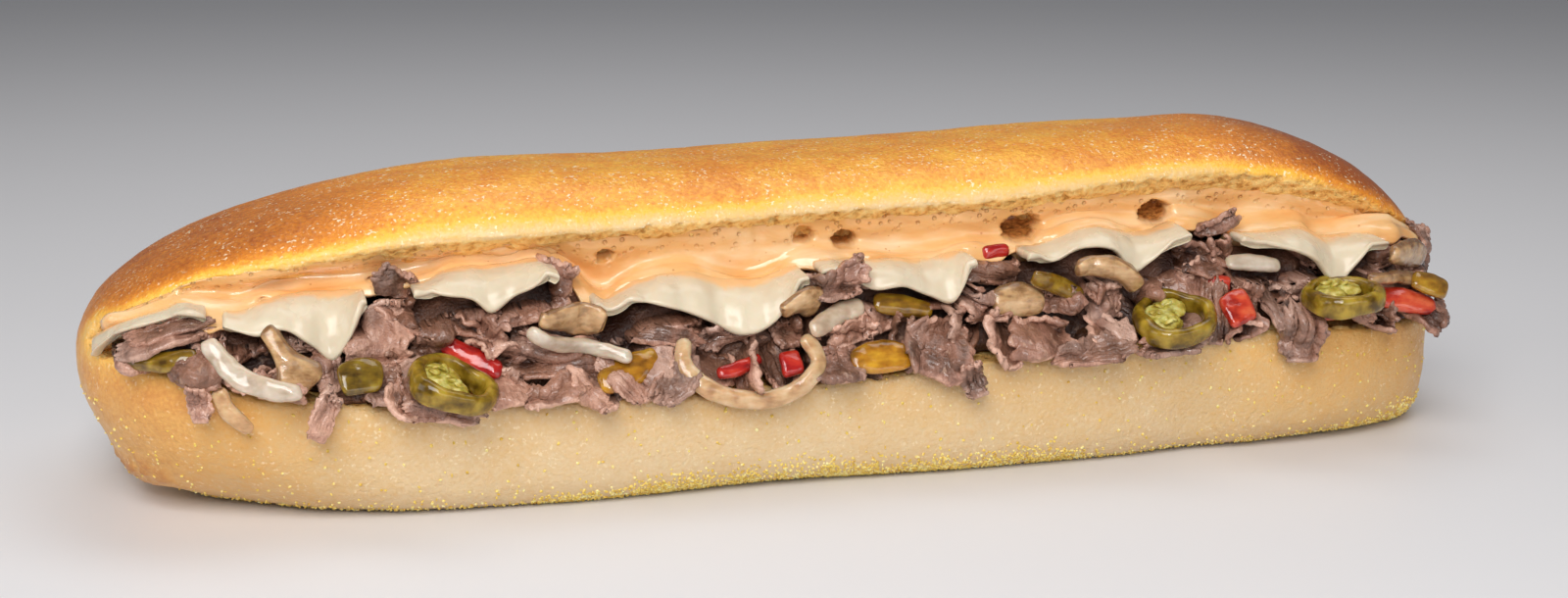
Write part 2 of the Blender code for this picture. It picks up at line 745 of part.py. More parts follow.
def strip_builder(trees, path, widths, thick, bow):
    """Returns a function that makes a strip along a path on the heap's front, at a given lift from it."""
    points = [(x * MM, z * MM) for x, z in path]
    steps = max(4, 2 * (len(path) - 1), len(widths) + 1)

    def spot(u, v, extra=0.0):
        here = through(points, u)
        ahead = through(points, min(u + 0.02, 1))
        behind = through(points, max(u - 0.02, 0))
        run = Vector((ahead[0] - behind[0], ahead[1] - behind[1])).normalized()
        side = (through([(w,) for w in widths], u)[0] * MM + extra) * (v - 0.5)
        return here[0] - run.y * side, here[1] + run.x * side

    samples = [spot(i / (2 * steps), v, 2 * GAP) for i in range(2 * steps + 1) for v in (0, 0.5, 1)]
    cover = cover_of(trees, samples)

    def build(lift):
        def surface(u, v):
            x, z = spot(u, v)
            rise = bow * MM * (1 - (2 * v - 1) ** 2)
            return Vector((x, cover(x, z) - thick * MM / 2 - GAP - lift - rise, z))

        return thin_solid("strip", surface, steps, 2, thick * MM)

    return build


def ring_builder(trees, centre, across, up, lean, turn, arc):
    """Returns a function that makes a ring cut from a pepper, open where its arc is less than a full turn."""
    c, s = math.cos(math.radians(turn)), math.sin(math.radians(turn))

    def spot(u, swell=1.0):
        angle = math.radians(arc * u)
        radius = (1 + 0.06 * math.cos(3 * angle)) * swell * MM
        a = across * radius * math.cos(angle)
        b = up * radius * math.sin(angle)
        return centre[0] * MM + a * c - b * s, centre[1] * MM + a * s + b * c

    samples = [spot(i / 28, swell) for i in range(29) for swell in (0.8, 1, 1.2)]
    cover = cover_of(trees, samples)

    def build(lift):
        def surface(u, v):
            x, z = spot(u)
            out = lean * MM * (1 - math.sin(math.radians(arc * u))) + v * RING_HEIGHT
            return Vector((x, cover(x, z) - GAP - lift - out, z))

        return thin_solid("ring", surface, 14, 1, RING_WALL, wrap=arc >= 360)

    return build


def make_toppings(trees):
    """Lays the toppings on the heap, those at the back first."""
    groups = (
        (MUSHROOMS, (0.55, 0.42, 0.28)),
        (REDS, (0.55, 0.05, 0.02)),
        (PEPPERS, (0.42, 0.42, 0.10)),
        (ONIONS, (0.78, 0.70, 0.55)),
    )
    for group, colour in groups:
        for name, values in group.items():
            lay(name, strip_builder(trees, *values), trees, colour, 0.4)
    for name, values in RINGS.items():
        lay(name, ring_builder(trees, *values), trees, (0.42, 0.42, 0.10), 0.35)


def shaving_mesh(place, size, turn, stand, trees, chance):
    """A ragged sheet of steak that comes out of the core, laps over what lies there and hangs down.

    It returns None where too much of the sheet would hide other pieces, or where it would cross one.
    """
    width, length = size
    phase = chance.uniform(0, 6.28)
    waves = chance.uniform(1.2, 2.6)
    swell = chance.uniform(0.5, 1.2)
    end = chance.uniform(0.6, 1)
    skew = chance.uniform(-0.3, 0.3)
    curl = chance.uniform(-0.5, 2.2)
    run = Vector((math.sin(math.radians(turn)), -math.cos(math.radians(turn))))

    def spot(u, v):
        across = width * (0.7 + 0.35 * math.sin(v * 2.4) - (1 - end) * v**2) * (u - 0.5)
        reach = length * v * (1 + skew * (u - 0.5) * 2 + 0.14 * math.sin(u * 9 + phase))
        x = place[0] + run.x * reach - run.y * across
        z = place[1] + run.y * reach + run.x * across
        return x * MM, z * MM

    samples = [spot(i / 4, j / 4) for i in range(5) for j in range(1, 5)]
    cover = cover_of(trees, samples)
    hidden = sum(outermost(trees, x, z) < drape_y(x, z) - 1.2 * MM for x, z in samples)
    if hidden > len(samples) * MOST_HIDDEN:
        return None

    def surface(u, v):
        x, z = spot(u, v)
        wave = swell * math.sin(waves * math.pi * u + phase) * smooth(v * 2)
        emerge = smooth(v * 2.5)
        y = drape_y(x, z) + (cover(x, z) - drape_y(x, z)) * emerge
        out = -2.4 * (1 - emerge) + stand * emerge + wave + curl * v**3
        return Vector((x, y - out * MM, z))

    steps = 4 if max(size) > 9 else 3
    mesh = thin_solid("shaving", surface, steps, steps, SHAVING_THICK)
    if crosses(mesh, trees, GAP):
        bpy.data.meshes.remove(mesh)
        return None
    return mesh


def make_steak(core, others):
    """Fuses the shavings with the core. One that finds no room is moved, made smaller or left out."""
    chance = random.Random(FILL_SEED)
    shavings = bpy.data.collections.new("shavings")
    taken = []

    def add(place, size, turn, out):
        mesh = shaving_mesh(place, size, turn, out, others, chance)
        if mesh:
            shavings.objects.link(bpy.data.objects.new("shaving", mesh))
            taken.append(place)
        return mesh is not None

    for x, z, width, length, turn, stand in SHAVINGS:
        for trial in range(TRIALS):
            loose = trial / TRIALS
            place = (x + chance.uniform(-4, 4) * loose, z + chance.uniform(-4, 4) * loose)
            size = (width * (1 - 0.5 * loose), length * (1 - 0.5 * loose))
            swing = turn + chance.uniform(-40, 40) * loose
            if add(place, size, swing, stand + chance.uniform(-1, 2) * loose):
                break
    for _ in range(FILL_TRIES):
        x = chance.uniform(-140, 138)
        z = along(BOTTOM_LIP, x * MM) / MM + chance.uniform(2, 19)
        if min(math.hypot(x - a, z - b) for a, b in taken) < FILL_SPACING:
            continue
        if outermost(others, x * MM, z * MM) < drape_y(x * MM, z * MM) - 0.2 * MM:
            continue
        size = (chance.uniform(4.5, 8), chance.uniform(4.5, 8))
        add((x, z), size, chance.uniform(-80, 120), chance.uniform(1.5, 3.5))
    fuse(core, shavings)


def fuse(obj, collection):
    """Joins a collection's objects into one object and removes them. Keeps the outer body alone."""
    bpy.context.scene.collection.children.link(collection)
    modifier = obj.modifiers.new("fuse", "BOOLEAN")
    modifier.operation = "UNION"
    modifier.solver = "MANIFOLD"
    modifier.operand_type = "COLLECTION"
    modifier.collection = collection
    graph = bpy.context.evaluated_depsgraph_get()
    mesh = bpy.data.meshes.new_from_object(obj.evaluated_get(graph))
    obj.modifiers.clear()
    for extra in list(collection.objects):
        bpy.data.objects.remove(extra)
    bpy.data.collections.remove(collection)
    bm = bmesh.new()
    bm.from_mesh(mesh)
    keep_largest(bm)
    bmesh.ops.triangulate(bm, faces=bm.faces)
    bm.to_mesh(mesh)
    bm.free()
    obj.data = mesh


def keep_largest(bm):
    """Removes every separate shell but the largest, such as a hollow closed off between shavings."""
    left = set(bm.verts)
    shells = []
    while left:
        start = left.pop()
        shell = {start}
        queue = [start]
        while queue:
            for edge in queue.pop().link_edges:
                for vert in edge.verts:
                    if vert in left:
                        left.discard(vert)
                        shell.add(vert)
                        queue.append(vert)
        shells.append(shell)
    shells.sort(key=len)
    for shell in shells[:-1]:
        bmesh.ops.delete(bm, geom=list(shell), context="VERTS")


for old in list(bpy.data.objects):
    bpy.data.objects.remove(old)
SANDWICH = bpy.data.collections.new("submarine_sandwich")
CUTTERS = bpy.data.collections.new("cutters")
bpy.context.scene.collection.children.link(SANDWICH)
bpy.context.scene.collection.children.link(CUTTERS)
PORE_CUTTERS = make_pore_cutters()
make_roll(PORE_CUTTERS)
make_cheese()
make_sauce(PORE_CUTTERS)
bpy.context.view_layer.update()
CORE = make_core()
make_toppings([tree_of([obj]) for obj in SANDWICH.objects])
make_steak(CORE, [tree_of([obj for obj in SANDWICH.objects if obj is not CORE])])
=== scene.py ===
"""The looks of a submarine sandwich with shaved steak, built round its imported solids."""

import json
import math
import random

import bmesh
import bpy
import numpy as np
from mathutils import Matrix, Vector, noise
from mathutils.bvhtree import BVHTree

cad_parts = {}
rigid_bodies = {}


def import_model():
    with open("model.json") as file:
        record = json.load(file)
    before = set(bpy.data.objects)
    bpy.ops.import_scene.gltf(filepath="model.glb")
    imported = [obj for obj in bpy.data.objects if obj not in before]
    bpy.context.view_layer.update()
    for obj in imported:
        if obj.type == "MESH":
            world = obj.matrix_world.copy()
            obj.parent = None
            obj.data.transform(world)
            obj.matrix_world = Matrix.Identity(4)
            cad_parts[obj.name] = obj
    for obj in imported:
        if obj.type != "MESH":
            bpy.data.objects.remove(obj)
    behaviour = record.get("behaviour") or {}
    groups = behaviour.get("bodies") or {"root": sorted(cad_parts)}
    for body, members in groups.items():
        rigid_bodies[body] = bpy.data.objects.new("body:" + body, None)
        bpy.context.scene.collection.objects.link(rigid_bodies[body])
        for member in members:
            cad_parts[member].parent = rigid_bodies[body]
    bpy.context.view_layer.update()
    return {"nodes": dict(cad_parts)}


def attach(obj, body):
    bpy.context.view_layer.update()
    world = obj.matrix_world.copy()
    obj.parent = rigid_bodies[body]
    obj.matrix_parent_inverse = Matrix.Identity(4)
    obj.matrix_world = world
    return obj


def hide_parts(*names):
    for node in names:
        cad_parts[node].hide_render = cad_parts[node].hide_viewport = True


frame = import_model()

# The roll. A soft 12 inch roll with a glossy golden crust, slit along its front and round its left end,
# with the bread left whole along its back. It is lofted along its length, the mouth is cut out, and a
# fine remesh gives the cut the soft corners of bread. All lengths in this file are in millimetres.
ROLL_LEFT = -153.0
ROLL_RIGHT = 145.5
FRONT_HALF_LOW = 41.0
FRONT_HALF_HIGH = 36.5
BACK_HALF = 40.0
BASE_SINK = 1.2
CROWN_POWER = 3.4
WAIST_LEFT = 28.5
WAIST_RIGHT = 25.0
HINGE_Y = 26.0
HINGE_LEFT_Y = -9.0
HINGE_TURNS_AT = -105.0
HINGE_Z = 31.5
MOUTH_LEFT = -149.0
MOUTH_RIGHT = 148.0
MOUTH_CURL = 2.2
BREAD_VOXEL = 1.12
XS = np.linspace(-156, 150, 613)


def smooth(share):
    share = np.clip(share, 0.0, 1.0)
    return share * share * (3 - 2 * share)


def line(*stations):
    """The heights at XS of a smooth line through (x, z) stations."""
    heights = []
    last = len(stations) - 1
    for x in np.clip(XS, stations[0][0], stations[-1][0]):
        i = max(k for k in range(last) if stations[k][0] <= x)
        (x0, z0), (x1, z1) = stations[i], stations[i + 1]
        xa, za = stations[max(i - 1, 0)]
        xb, zb = stations[min(i + 2, last)]
        span = x1 - x0
        t = (x - x0) / span
        bend = (z1 - za) / (x1 - xa) * (1 - t) - (zb - z0) / (xb - x0) * t
        heights.append(z0 + (z1 - z0) * smooth(t) + span * t * (1 - t) * bend)
    return np.array(heights)


CROWN = line((-152, 62), (-100, 62.8), (-60, 64.8), (0, 65.2), (60, 67.2), (100, 68.5), (146, 67))
TOP_LIP = line(
    *((-153, 35), (-146, 40), (-135, 45.5), (-126, 49), (-110, 51.3), (-84, 54), (-45, 55.2), (-8, 56.5)),
    *((34, 57.2), (60, 58.9), (87, 60.5), (102, 58.8), (117, 54.5), (133, 46.5), (146, 40)),
)
BOTTOM_LIP = line(
    *((-153, 33), (-145, 33), (-134, 32), (-124, 29), (-107, 25.5), (-92, 24), (-55, 22.6), (0, 22.6)),
    *((22, 24.3), (49, 25), (94, 27), (118, 26.5), (131, 25.5), (146, 22)),
)


def top_lip(x):
    return np.interp(x, XS, TOP_LIP)


def bottom_lip(x):
    return np.interp(x, XS, BOTTOM_LIP)


def taper(distance, reach, power):
    """How full the roll is at this distance from its end: 0 at the tip, 1 past the reach of its rounding."""
    away = np.clip(1 - distance / reach, 0.0, 1.0)
    return (1 - away**power) ** (1 / power)


def width_share(x):
    return taper(x - ROLL_LEFT, 44, 2.3) * taper(ROLL_RIGHT + 1.5 - x, 44, 2.3)


def waist(x):
    return WAIST_LEFT + (WAIST_RIGHT - WAIST_LEFT) * (x - ROLL_LEFT) / (ROLL_RIGHT - ROLL_LEFT)


def crown(x):
    share = taper(x - ROLL_LEFT, 86, 2.15) * taper(ROLL_RIGHT + 2 - x, 57, 1.9)
    return waist(x) + (np.interp(x, XS, CROWN) - waist(x)) * share


def base(x):
    share = taper(x - ROLL_LEFT, 30, 1.9) * taper(ROLL_RIGHT + 1.2 - x, 11, 2.4)
    return waist(x) - (waist(x) + BASE_SINK) * share


def foot_power(x):
    left = 2.3 + 4.2 * smooth((x - ROLL_LEFT - 25) / 50)
    right = 5.0 + 1.5 * smooth((ROLL_RIGHT - x - 30) / 50)
    return np.minimum(left, right)


def front_half(x, z):
    return (FRONT_HALF_LOW + (FRONT_HALF_HIGH - FRONT_HALF_LOW) * smooth((z - 24) / 28)) * width_share(x)


def front_edge(x, z):
    """The Y of the crust's front above its waist."""
    rise = np.clip((z - waist(x)) / np.maximum(crown(x) - waist(x), 1), 0, 0.98)
    return -front_half(x, z) * (1 - rise**CROWN_POWER) ** (1 / CROWN_POWER)


def unevenness(x, y, z):
    """Soft swellings and hollows of a hand-shaped loaf, and the torn seam low on its left end."""
    swell = 0.45 * np.sin(x / 19 + y / 31) + 0.3 * np.sin(x / 11 - z / 17)
    dent = 2.2 * np.exp(-(((x - 77) / 11) ** 2) - ((z - 7) / 8) ** 2)
    seam = np.exp(-(((x + 146) / 9) ** 2) - ((z - 7) / 4.5) ** 2)
    return swell - np.where(y < 0, dent, 0) + 4 * seam


def points_at(x, y, z):
    """Points whose coordinates are numbers, rows, columns or whole grids, as one array."""
    return np.stack(np.broadcast_arrays(x, y, z), -1)


def crust_points(x, angle):
    """Points of the crust's sections at x. The angle runs from the back over the crown to the front."""
    c, s = np.cos(angle), np.sin(angle)
    high = np.where(c >= 0, 2.3, CROWN_POWER)
    low = np.where(c >= 0, 3.2, foot_power(x))
    power = np.where(s >= 0, high, low)
    reach = np.where(s >= 0, crown(x) - waist(x), waist(x) - base(x))
    z = waist(x) + np.sign(s) * np.abs(s) ** (2 / power) * reach
    half = np.where(c >= 0, BACK_HALF * width_share(x), front_half(x, z))
    y = np.sign(c) * np.abs(c) ** (2 / power) * half
    push = unevenness(x, y, z) * np.minimum(1, width_share(x) * 1.5)
    return points_at(x, y + push * c, np.maximum(z + push * s * 0.8, 0))


def hinge_y(x):
    return HINGE_Y + (HINGE_LEFT_Y - HINGE_Y) * smooth((HINGE_TURNS_AT - x) / 44)


def depth_y(x, share):
    """The Y at this depth into the mouth: 0 at its lip and 1 at the hinge."""
    lip = front_edge(x, top_lip(x))
    return lip + share * (hinge_y(x) - lip)


def mouth_top(x, share):
    """Height of the top bun's crumb, carried on past the lip at a steady slope."""
    rise = top_lip(x) - HINGE_Z - 1.5
    inside = HINGE_Z + 1.5 + rise * (1 - np.maximum(share, 0)) ** MOUTH_CURL
    return np.where(share < 0, top_lip(x) - share * rise * MOUTH_CURL * 0.8, inside)


def mouth_floor(x, share):
    return bottom_lip(x) + (HINGE_Z - 1.5 - bottom_lip(x)) * np.maximum(share, 0) ** 4


def linked(name, data):
    """A new object of this mesh, lamp or camera, in the scene."""
    obj = bpy.data.objects.new(name, data)
    bpy.context.scene.collection.objects.link(obj)
    return obj


def new_object(name, points, faces):
    """An object made from points in millimetres, with its faces turned outwards."""
    mesh = bpy.data.meshes.new(name)
    mesh.from_pydata((np.asarray(points).reshape(-1, 3) / 1000).tolist(), [], faces)
    bm = bmesh.new()
    bm.from_mesh(mesh)
    bmesh.ops.recalc_face_normals(bm, faces=bm.faces)
    bm.to_mesh(mesh)
    bm.free()
    return linked(name, mesh)


def bmesh_object(name, bm):
    mesh = bpy.data.meshes.new(name)
    bm.to_mesh(mesh)
    bm.free()
    return linked(name, mesh)


def tube_faces(count, sides, closed=False):
    """Faces round rings of points. The last ring joins the first one if closed, or both are capped."""
    total = count * sides
    faces = [] if closed else [list(range(sides))[::-1], list(range(total - sides, total))]
    for i in range(count if closed else count - 1):
        for k in range(sides):
            a, b = i * sides + k, i * sides + (k + 1) % sides
            faces.append((a, b, (b + sides) % total, (a + sides) % total))
    return faces


def loft(name, rings):
    """A closed solid through rings of points, given as one array."""
    return new_object(name, rings, tube_faces(*rings.shape[:2]))


def finish_modifiers(obj):
    """Puts the result of an object's modifiers into its mesh, and removes them."""
    graph = bpy.context.evaluated_depsgraph_get()
    mesh = bpy.data.meshes.new_from_object(obj.evaluated_get(graph))
    obj.modifiers.clear()
    obj.data = mesh


def subtract(obj, cutters):
    for cutter in cutters:
        modifier = obj.modifiers.new("cut", "BOOLEAN")
        modifier.operation = "DIFFERENCE"
        modifier.solver = "EXACT"
        modifier.object = cutter


def remesh(obj, voxel):
    modifier = obj.modifiers.new("remesh", "REMESH")
    modifier.mode = "VOXEL"
    modifier.voxel_size = voxel / 1000


def soften(obj, rounds):
    modifier = obj.modifiers.new("soften", "SMOOTH")
    modifier.factor = 0.5
    modifier.iterations = rounds


def coordinates(mesh):
    """The points of a mesh as an array in millimetres."""
    points = np.empty(len(mesh.vertices) * 3, np.float32)
    mesh.vertices.foreach_get("co", points)
    return points.reshape(-1, 3).astype(float) * 1000


def normals(mesh):
    directions = np.empty(len(mesh.vertices) * 3, np.float32)
    mesh.vertex_normals.foreach_get("vector", directions)
    return directions.reshape(-1, 3).astype(float)


def push_out(mesh, lift):
    """Moves the points of a mesh along its normals by these lifts."""
    points = coordinates(mesh) + normals(mesh) * lift[:, None]
    mesh.vertices.foreach_set("co", (points / 1000).astype(np.float32).ravel())
    mesh.update()


def put_attribute(mesh, name, values):
    values = np.asarray(values, np.float32)
    kind = "FLOAT" if values.ndim == 1 else "FLOAT_VECTOR"
    layer = mesh.attributes.new(name, kind, "POINT")
    layer.data.foreach_set("value" if values.ndim == 1 else "vector", values.ravel())


def noise_at(points, size, octaves=3, offset=0.0):
    """Smooth noise from about -1 to 1 at points in millimetres, with features of about this size."""
    scale = 1 / size
    places = (points.reshape(-1, 3) * scale + offset).tolist()
    return np.array([noise.fractal(p, 1.0, 2.0, octaves) for p in places]).reshape(points.shape[:-1])


def tree_of(*objects):
    bm = bmesh.new()
    for obj in objects:
        bm.from_mesh(obj.data)
    tree = BVHTree.FromBMesh(bm)
    bm.free()
    return tree


def distance_to(tree, points):
    found = [tree.find_nearest(p)[3] for p in (points / 1000).tolist()]
    return np.array(found) * 1000


def finish_surface(obj, **attributes):
    """Gives a piece the attributes that its material reads, and shades it smooth."""
    for name, values in attributes.items():
        put_attribute(obj.data, name, values)
    obj.data.polygons.foreach_set("use_smooth", [True] * len(obj.data.polygons))
    return obj


# Big pores of the crumb that show through the sauce: place along the roll, share of the way in, radius
PORES = (
    *((-116, 0.17, 1.6), (-95, 0.17, 1.5), (-49, 0.13, 1.4), (-7, 0.11, 1.6)),
    *((2, 0.14, 2.0), (41, 0.14, 3.0), (72, 0.14, 2.7)),
)


def pore_places():
    for x, share, radius in PORES:
        yield np.array([x, depth_y(x, share), mouth_top(x, share) - 0.4 * radius]), radius


def make_pore_cutters():
    cutters = []
    for place, radius in pore_places():
        bm = bmesh.new()
        bmesh.ops.create_uvsphere(bm, u_segments=16, v_segments=10, radius=radius / 1000)
        bmesh.ops.scale(bm, vec=(1.25, 1.6, 1.5), verts=bm.verts)
        bmesh.ops.translate(bm, vec=place / 1000, verts=bm.verts)
        cutters.append(bmesh_object("pore", bm))
    return cutters


def make_mouth_cutter():
    x = MOUTH_LEFT + (MOUTH_RIGHT - MOUTH_LEFT) * np.linspace(0, 1, 120)[:, None] ** 1.15
    at = np.minimum(x, ROLL_RIGHT - 0.5)
    shares = np.concatenate([[-0.45], np.linspace(0, 1, 26) ** 1.6])[None, :]
    upper = points_at(x, depth_y(at, shares), mouth_top(at, shares))
    lower = points_at(x, depth_y(at, shares), mouth_floor(at, shares))
    return loft("mouth", np.concatenate([upper, lower[:, ::-1]], 1))


def make_roll():
    turn = (1 - np.cos(np.pi * np.linspace(0, 1, 150)[:, None])) / 2
    x = ROLL_LEFT + 0.3 + (ROLL_RIGHT - ROLL_LEFT - 0.6) * turn
    angle = 2 * np.pi * (np.arange(132)[None, :] + 0.5) / 132
    roll = loft("bread_roll", crust_points(x, angle))
    whole = tree_of(roll)
    mouth = make_mouth_cutter()
    opening = tree_of(mouth)
    pores = make_pore_cutters()
    subtract(roll, [mouth, *pores])
    remesh(roll, BREAD_VOXEL)
    soften(roll, 2)
    finish_modifiers(roll)
    for helper in (mouth, *pores):
        bpy.data.objects.remove(helper)
    points = coordinates(roll.data)
    depth = distance_to(whole, points)
    crumb = smooth((depth - 0.5) / 0.9) * (points[:, 2] > 2.5)
    # Nearness to the mouth's cut, where the bread's material paints a paler highlight along the lip.
    rim = 1 - smooth(distance_to(opening, points) / 7)
    wrinkles = noise_at(points * (0.6, 1, 1), 7) * 0.16 + noise_at(points, 2.6, 2, 5) * 0.06
    holes = noise_at(points, 2.2, 2, 9)
    rough = noise_at(points, 3.4, 3, 3) * 0.35 - np.maximum(holes - 0.12, 0) * 2.2
    torn = smooth(1 - np.abs(points[:, 0] + 143) / 16) * smooth(1 - np.abs(points[:, 2] - 8) / 7)
    torn = torn * (points[:, 1] < 0) * (0.5 + noise_at(points, 2.4, 3, 7)) * 0.8
    lift = wrinkles * (1 - crumb) + rough * crumb + torn
    push_out(roll.data, lift * smooth(points[:, 2] / 2))
    return finish_surface(roll, crumb=crumb, rim=rim, torn=np.clip(torn * 2, 0, 1))


class Wire:
    """An output of a node. Sums and products of wires and numbers add Math nodes."""

    def __init__(self, tree, socket=None):
        self.tree = tree
        self.socket = socket

    def add(self, kind, settings=None, inputs=None, output=0):
        """Adds a node of this kind, with its settings set first and then its inputs."""
        node = self.tree.nodes.new(kind)
        for name, value in (settings or {}).items():
            if name == "stops":
                set_stops(node.color_ramp, value)
            else:
                setattr(node, name, value)
        for name, value in (inputs or {}).items():
            if isinstance(value, Wire):
                self.tree.links.new(value.socket, node.inputs[name])
            else:
                node.inputs[name].default_value = value
        return Wire(self.tree, node.outputs[output])

    def math(self, operation, first, second):
        return self.add("ShaderNodeMath", {"operation": operation}, {0: first, 1: second})

    def __add__(self, other):
        return self.math("ADD", self, other)

    __radd__ = __add__

    def __sub__(self, other):
        return self.math("SUBTRACT", self, other)

    def __rsub__(self, other):
        return self.math("SUBTRACT", other, self)

    def __mul__(self, other):
        return self.math("MULTIPLY", self, other)

    __rmul__ = __mul__

    def step(self, low, high):
        """0 below low, 1 above high, and smooth between them."""
        settings = {"interpolation_type": "SMOOTHSTEP"}
        return self.add("ShaderNodeMapRange", settings, {"Value": self, "From Min": low, "From Max": high})


def set_stops(ramp, stops):
    while len(ramp.elements) < len(stops):
        ramp.elements.new(1)
    for element, (place, colour) in zip(ramp.elements, stops):
        element.position = place
        element.color = (*colour, 1)


class Paint(Wire):
    """A material under construction: its object coordinates in millimetres, and short names for nodes."""

    def __init__(self, name):
        self.material = bpy.data.materials.new(name)
        self.material.use_nodes = True
        super().__init__(self.material.node_tree)
        self.shader = self.tree.nodes["Principled BSDF"]
        place = self.add("ShaderNodeTexCoord", output="Object")
        self.place = self.scaled(place, (1000, 1000, 1000))

    def scaled(self, vector, sizes):
        return self.add("ShaderNodeVectorMath", {"operation": "MULTIPLY"}, {0: vector, 1: sizes})

    def attribute(self, name, output="Fac"):
        return self.add("ShaderNodeAttribute", {"attribute_name": name}, output=output)

    def noise(self, size, detail, vector=None):
        """Noise from 0 to 1 with features of about this size in millimetres."""
        inputs = {"Vector": vector or self.place, "Scale": 1 / size, "Detail": detail}
        return self.add("ShaderNodeTexNoise", None, inputs)

    def cells(self, size):
        inputs = {"Vector": self.place, "Scale": 1 / size}
        return self.add("ShaderNodeTexVoronoi", None, inputs, "Distance")

    def ramp(self, value, *stops):
        return self.add("ShaderNodeValToRGB", {"stops": stops}, {"Fac": value})

    def blend(self, share, first, second):
        colours = [(*c, 1) if isinstance(c, tuple) else c for c in (first, second)]
        inputs = {0: share, 6: colours[0], 7: colours[1]}
        return self.add("ShaderNodeMix", {"data_type": "RGBA"}, inputs, output=2)

    def separate(self, vector, axis):
        return self.add("ShaderNodeSeparateXYZ", None, {"Vector": vector}, output=axis)

    def bump(self, height, depth):
        """Relief of this depth in millimetres where height goes from 0 to 1."""
        return self.add("ShaderNodeBump", None, {"Height": height, "Distance": depth / 1000}, "Normal")

    def finish(self, **sockets):
        """Sets the main shader's sockets, and returns the material."""
        for name, value in sockets.items():
            socket = self.shader.inputs[name.replace("_", " ")]
            if isinstance(value, Wire):
                self.tree.links.new(value.socket, socket)
            else:
                socket.default_value = value
        return self.material


def bread_material():
    paint = Paint("baked bread")
    x = paint.separate(paint.place, "X")
    z = paint.separate(paint.place, "Z")
    crumb = paint.attribute("crumb")
    rim = paint.attribute("rim")
    torn = paint.attribute("torn")
    broad = paint.noise(34, 3)
    patch = paint.noise(8, 5)
    dapple = paint.noise(2.4, 4)
    high = z.step(34, 64)
    # Browner towards both ends: partly the ends' real bake, partly painted shade on the ends, away from the
    # light on the middle crown.
    left_end = 1 - x.step(-150, -70)
    right_end = x.step(60, 140)
    top = 0.37 + high * 0.17 + left_end * 0.41 + right_end * 0.50
    low = 0.05 + left_end * 0.36 + right_end * 0.36 + z.step(4, 28) * 0.17
    bake = low + (top - low) * z.step(22, 46) + (broad - 0.5) * 0.34 + (patch - 0.5) * 0.22
    speckle = paint.noise(0.9, 2)
    bake = bake + (dapple - 0.5) * 0.16 + (speckle - 0.5) * 0.34 + torn * 0.35
    # Painted highlight: the top bun's crust is paler along the rounded lip of the mouth.
    bake = bake - rim * (0.06 + rim * 0.30) * z.step(20, 40)
    below = paint.ramp(
        bake,
        (0.0, (0.74, 0.55, 0.32)),
        (0.25, (0.71, 0.455, 0.195)),
        (0.48, (0.74, 0.395, 0.112)),
        (0.85, (0.52, 0.19, 0.035)),
    )
    crust = paint.ramp(
        bake,
        (0.0, (0.84, 0.64, 0.38)),
        (0.20, (0.86, 0.55, 0.20)),
        (0.40, (1.0, 0.530, 0.058)),
        (0.62, (0.77, 0.255, 0.022)),
        (0.90, (0.36, 0.085, 0.010)),
    )
    crust = paint.blend(z.step(15, 50), below, crust)
    # Pale specks: partly real flour and blisters, partly painted glints, with more of them on the crown.
    flour = paint.noise(6, 4).step(0.38, 0.60) * (0.45 + high * 0.55)
    dots = paint.noise(0.8, 1).step(0.61, 0.72) * flour
    crust = paint.blend(dots * 0.85, crust, (1.0, 0.87, 0.60))
    hollow = paint.noise(1.6, 3)
    # The crumb is darker where its relief is hollow: painted shade in its pores.
    soft = paint.ramp(
        hollow,
        (0.30, (0.56, 0.25, 0.045)),
        (0.46, (0.94, 0.54, 0.15)),
        (0.70, (1.0, 0.71, 0.28)),
    )
    fine = paint.noise(0.5, 3) * 0.4 + speckle * 0.5 + dapple * 0.4 + hollow * crumb * 2.8
    return paint.finish(
        Base_Color=paint.blend(crumb, crust, soft),
        Roughness=0.42 + (dapple - 0.5) * 0.5 + crumb * 0.3 - high * 0.06,
        Normal=paint.bump(fine, 0.4),
        Subsurface_Weight=0.06,
        Subsurface_Scale=0.003,
        Coat_Weight=0.12,
        Coat_Roughness=0.25,
    )


def dress(obj, material, slot, *nodes):
    """Gives a finished piece its material, and fixes it to the sandwich in place of its solids."""
    obj.data.materials.clear()
    obj.data.materials.append(material)
    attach(obj, "root")
    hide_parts(*nodes)


bread = make_roll()
dress(bread, bread_material(), "bread", "roll")


# The sauce. A creamy orange sauce, spread over the top bun's crumb and run down on to the cheese. It is a
# skin whose section is a curve from under the crust to the cheese, with smears and runs as noise.
CREST_SET_BACK = 12.5
SAUCE_LEFT = -146.0
SAUCE_RIGHT = 136.0
SAUCE_STEPS = 420
SAUCE_ROWS = 44
# Where the sauce ends on the front of the heap
SAUCE_FOOT = line(
    *((-150, 35.2), (-142, 41.6), (-133, 44.8), (-121, 43.2), (-112, 45.2), (-98, 45.6), (-86, 46.4)),
    *((-80, 48.6), (-70, 49), (-62, 49.6), (-56, 46), (-50, 41), (-43, 44), (-34, 45.6), (-25, 43.6)),
    *((-18, 42.8), (-9, 45.6), (1, 46.4), (12, 45.6), (28, 46.4), (42, 47), (54, 50.2), (68, 48.6)),
    *((76, 50.2), (92, 47.2), (105, 47.6), (110, 45.4), (121, 45.8), (130, 46), (138, 42)),
)


# Where the sauce runs down the heap's front, between the slices: place, how far and how wide
DRIPS = ((-127, 4.6, 3.5), (-122, 2.5, 2), (-52, 5.5, 3), (-3, 2, 2.5), (33, 1.5, 4), (126, 2, 3))


def heap_front(x):
    """The Y of the filling's front, which follows the bun and is cut square at its right end."""
    return -FRONT_HALF_LOW * taper(x - ROLL_LEFT, 44, 2.3) * taper(ROLL_RIGHT + 1.5 - x, 20, 2.3)


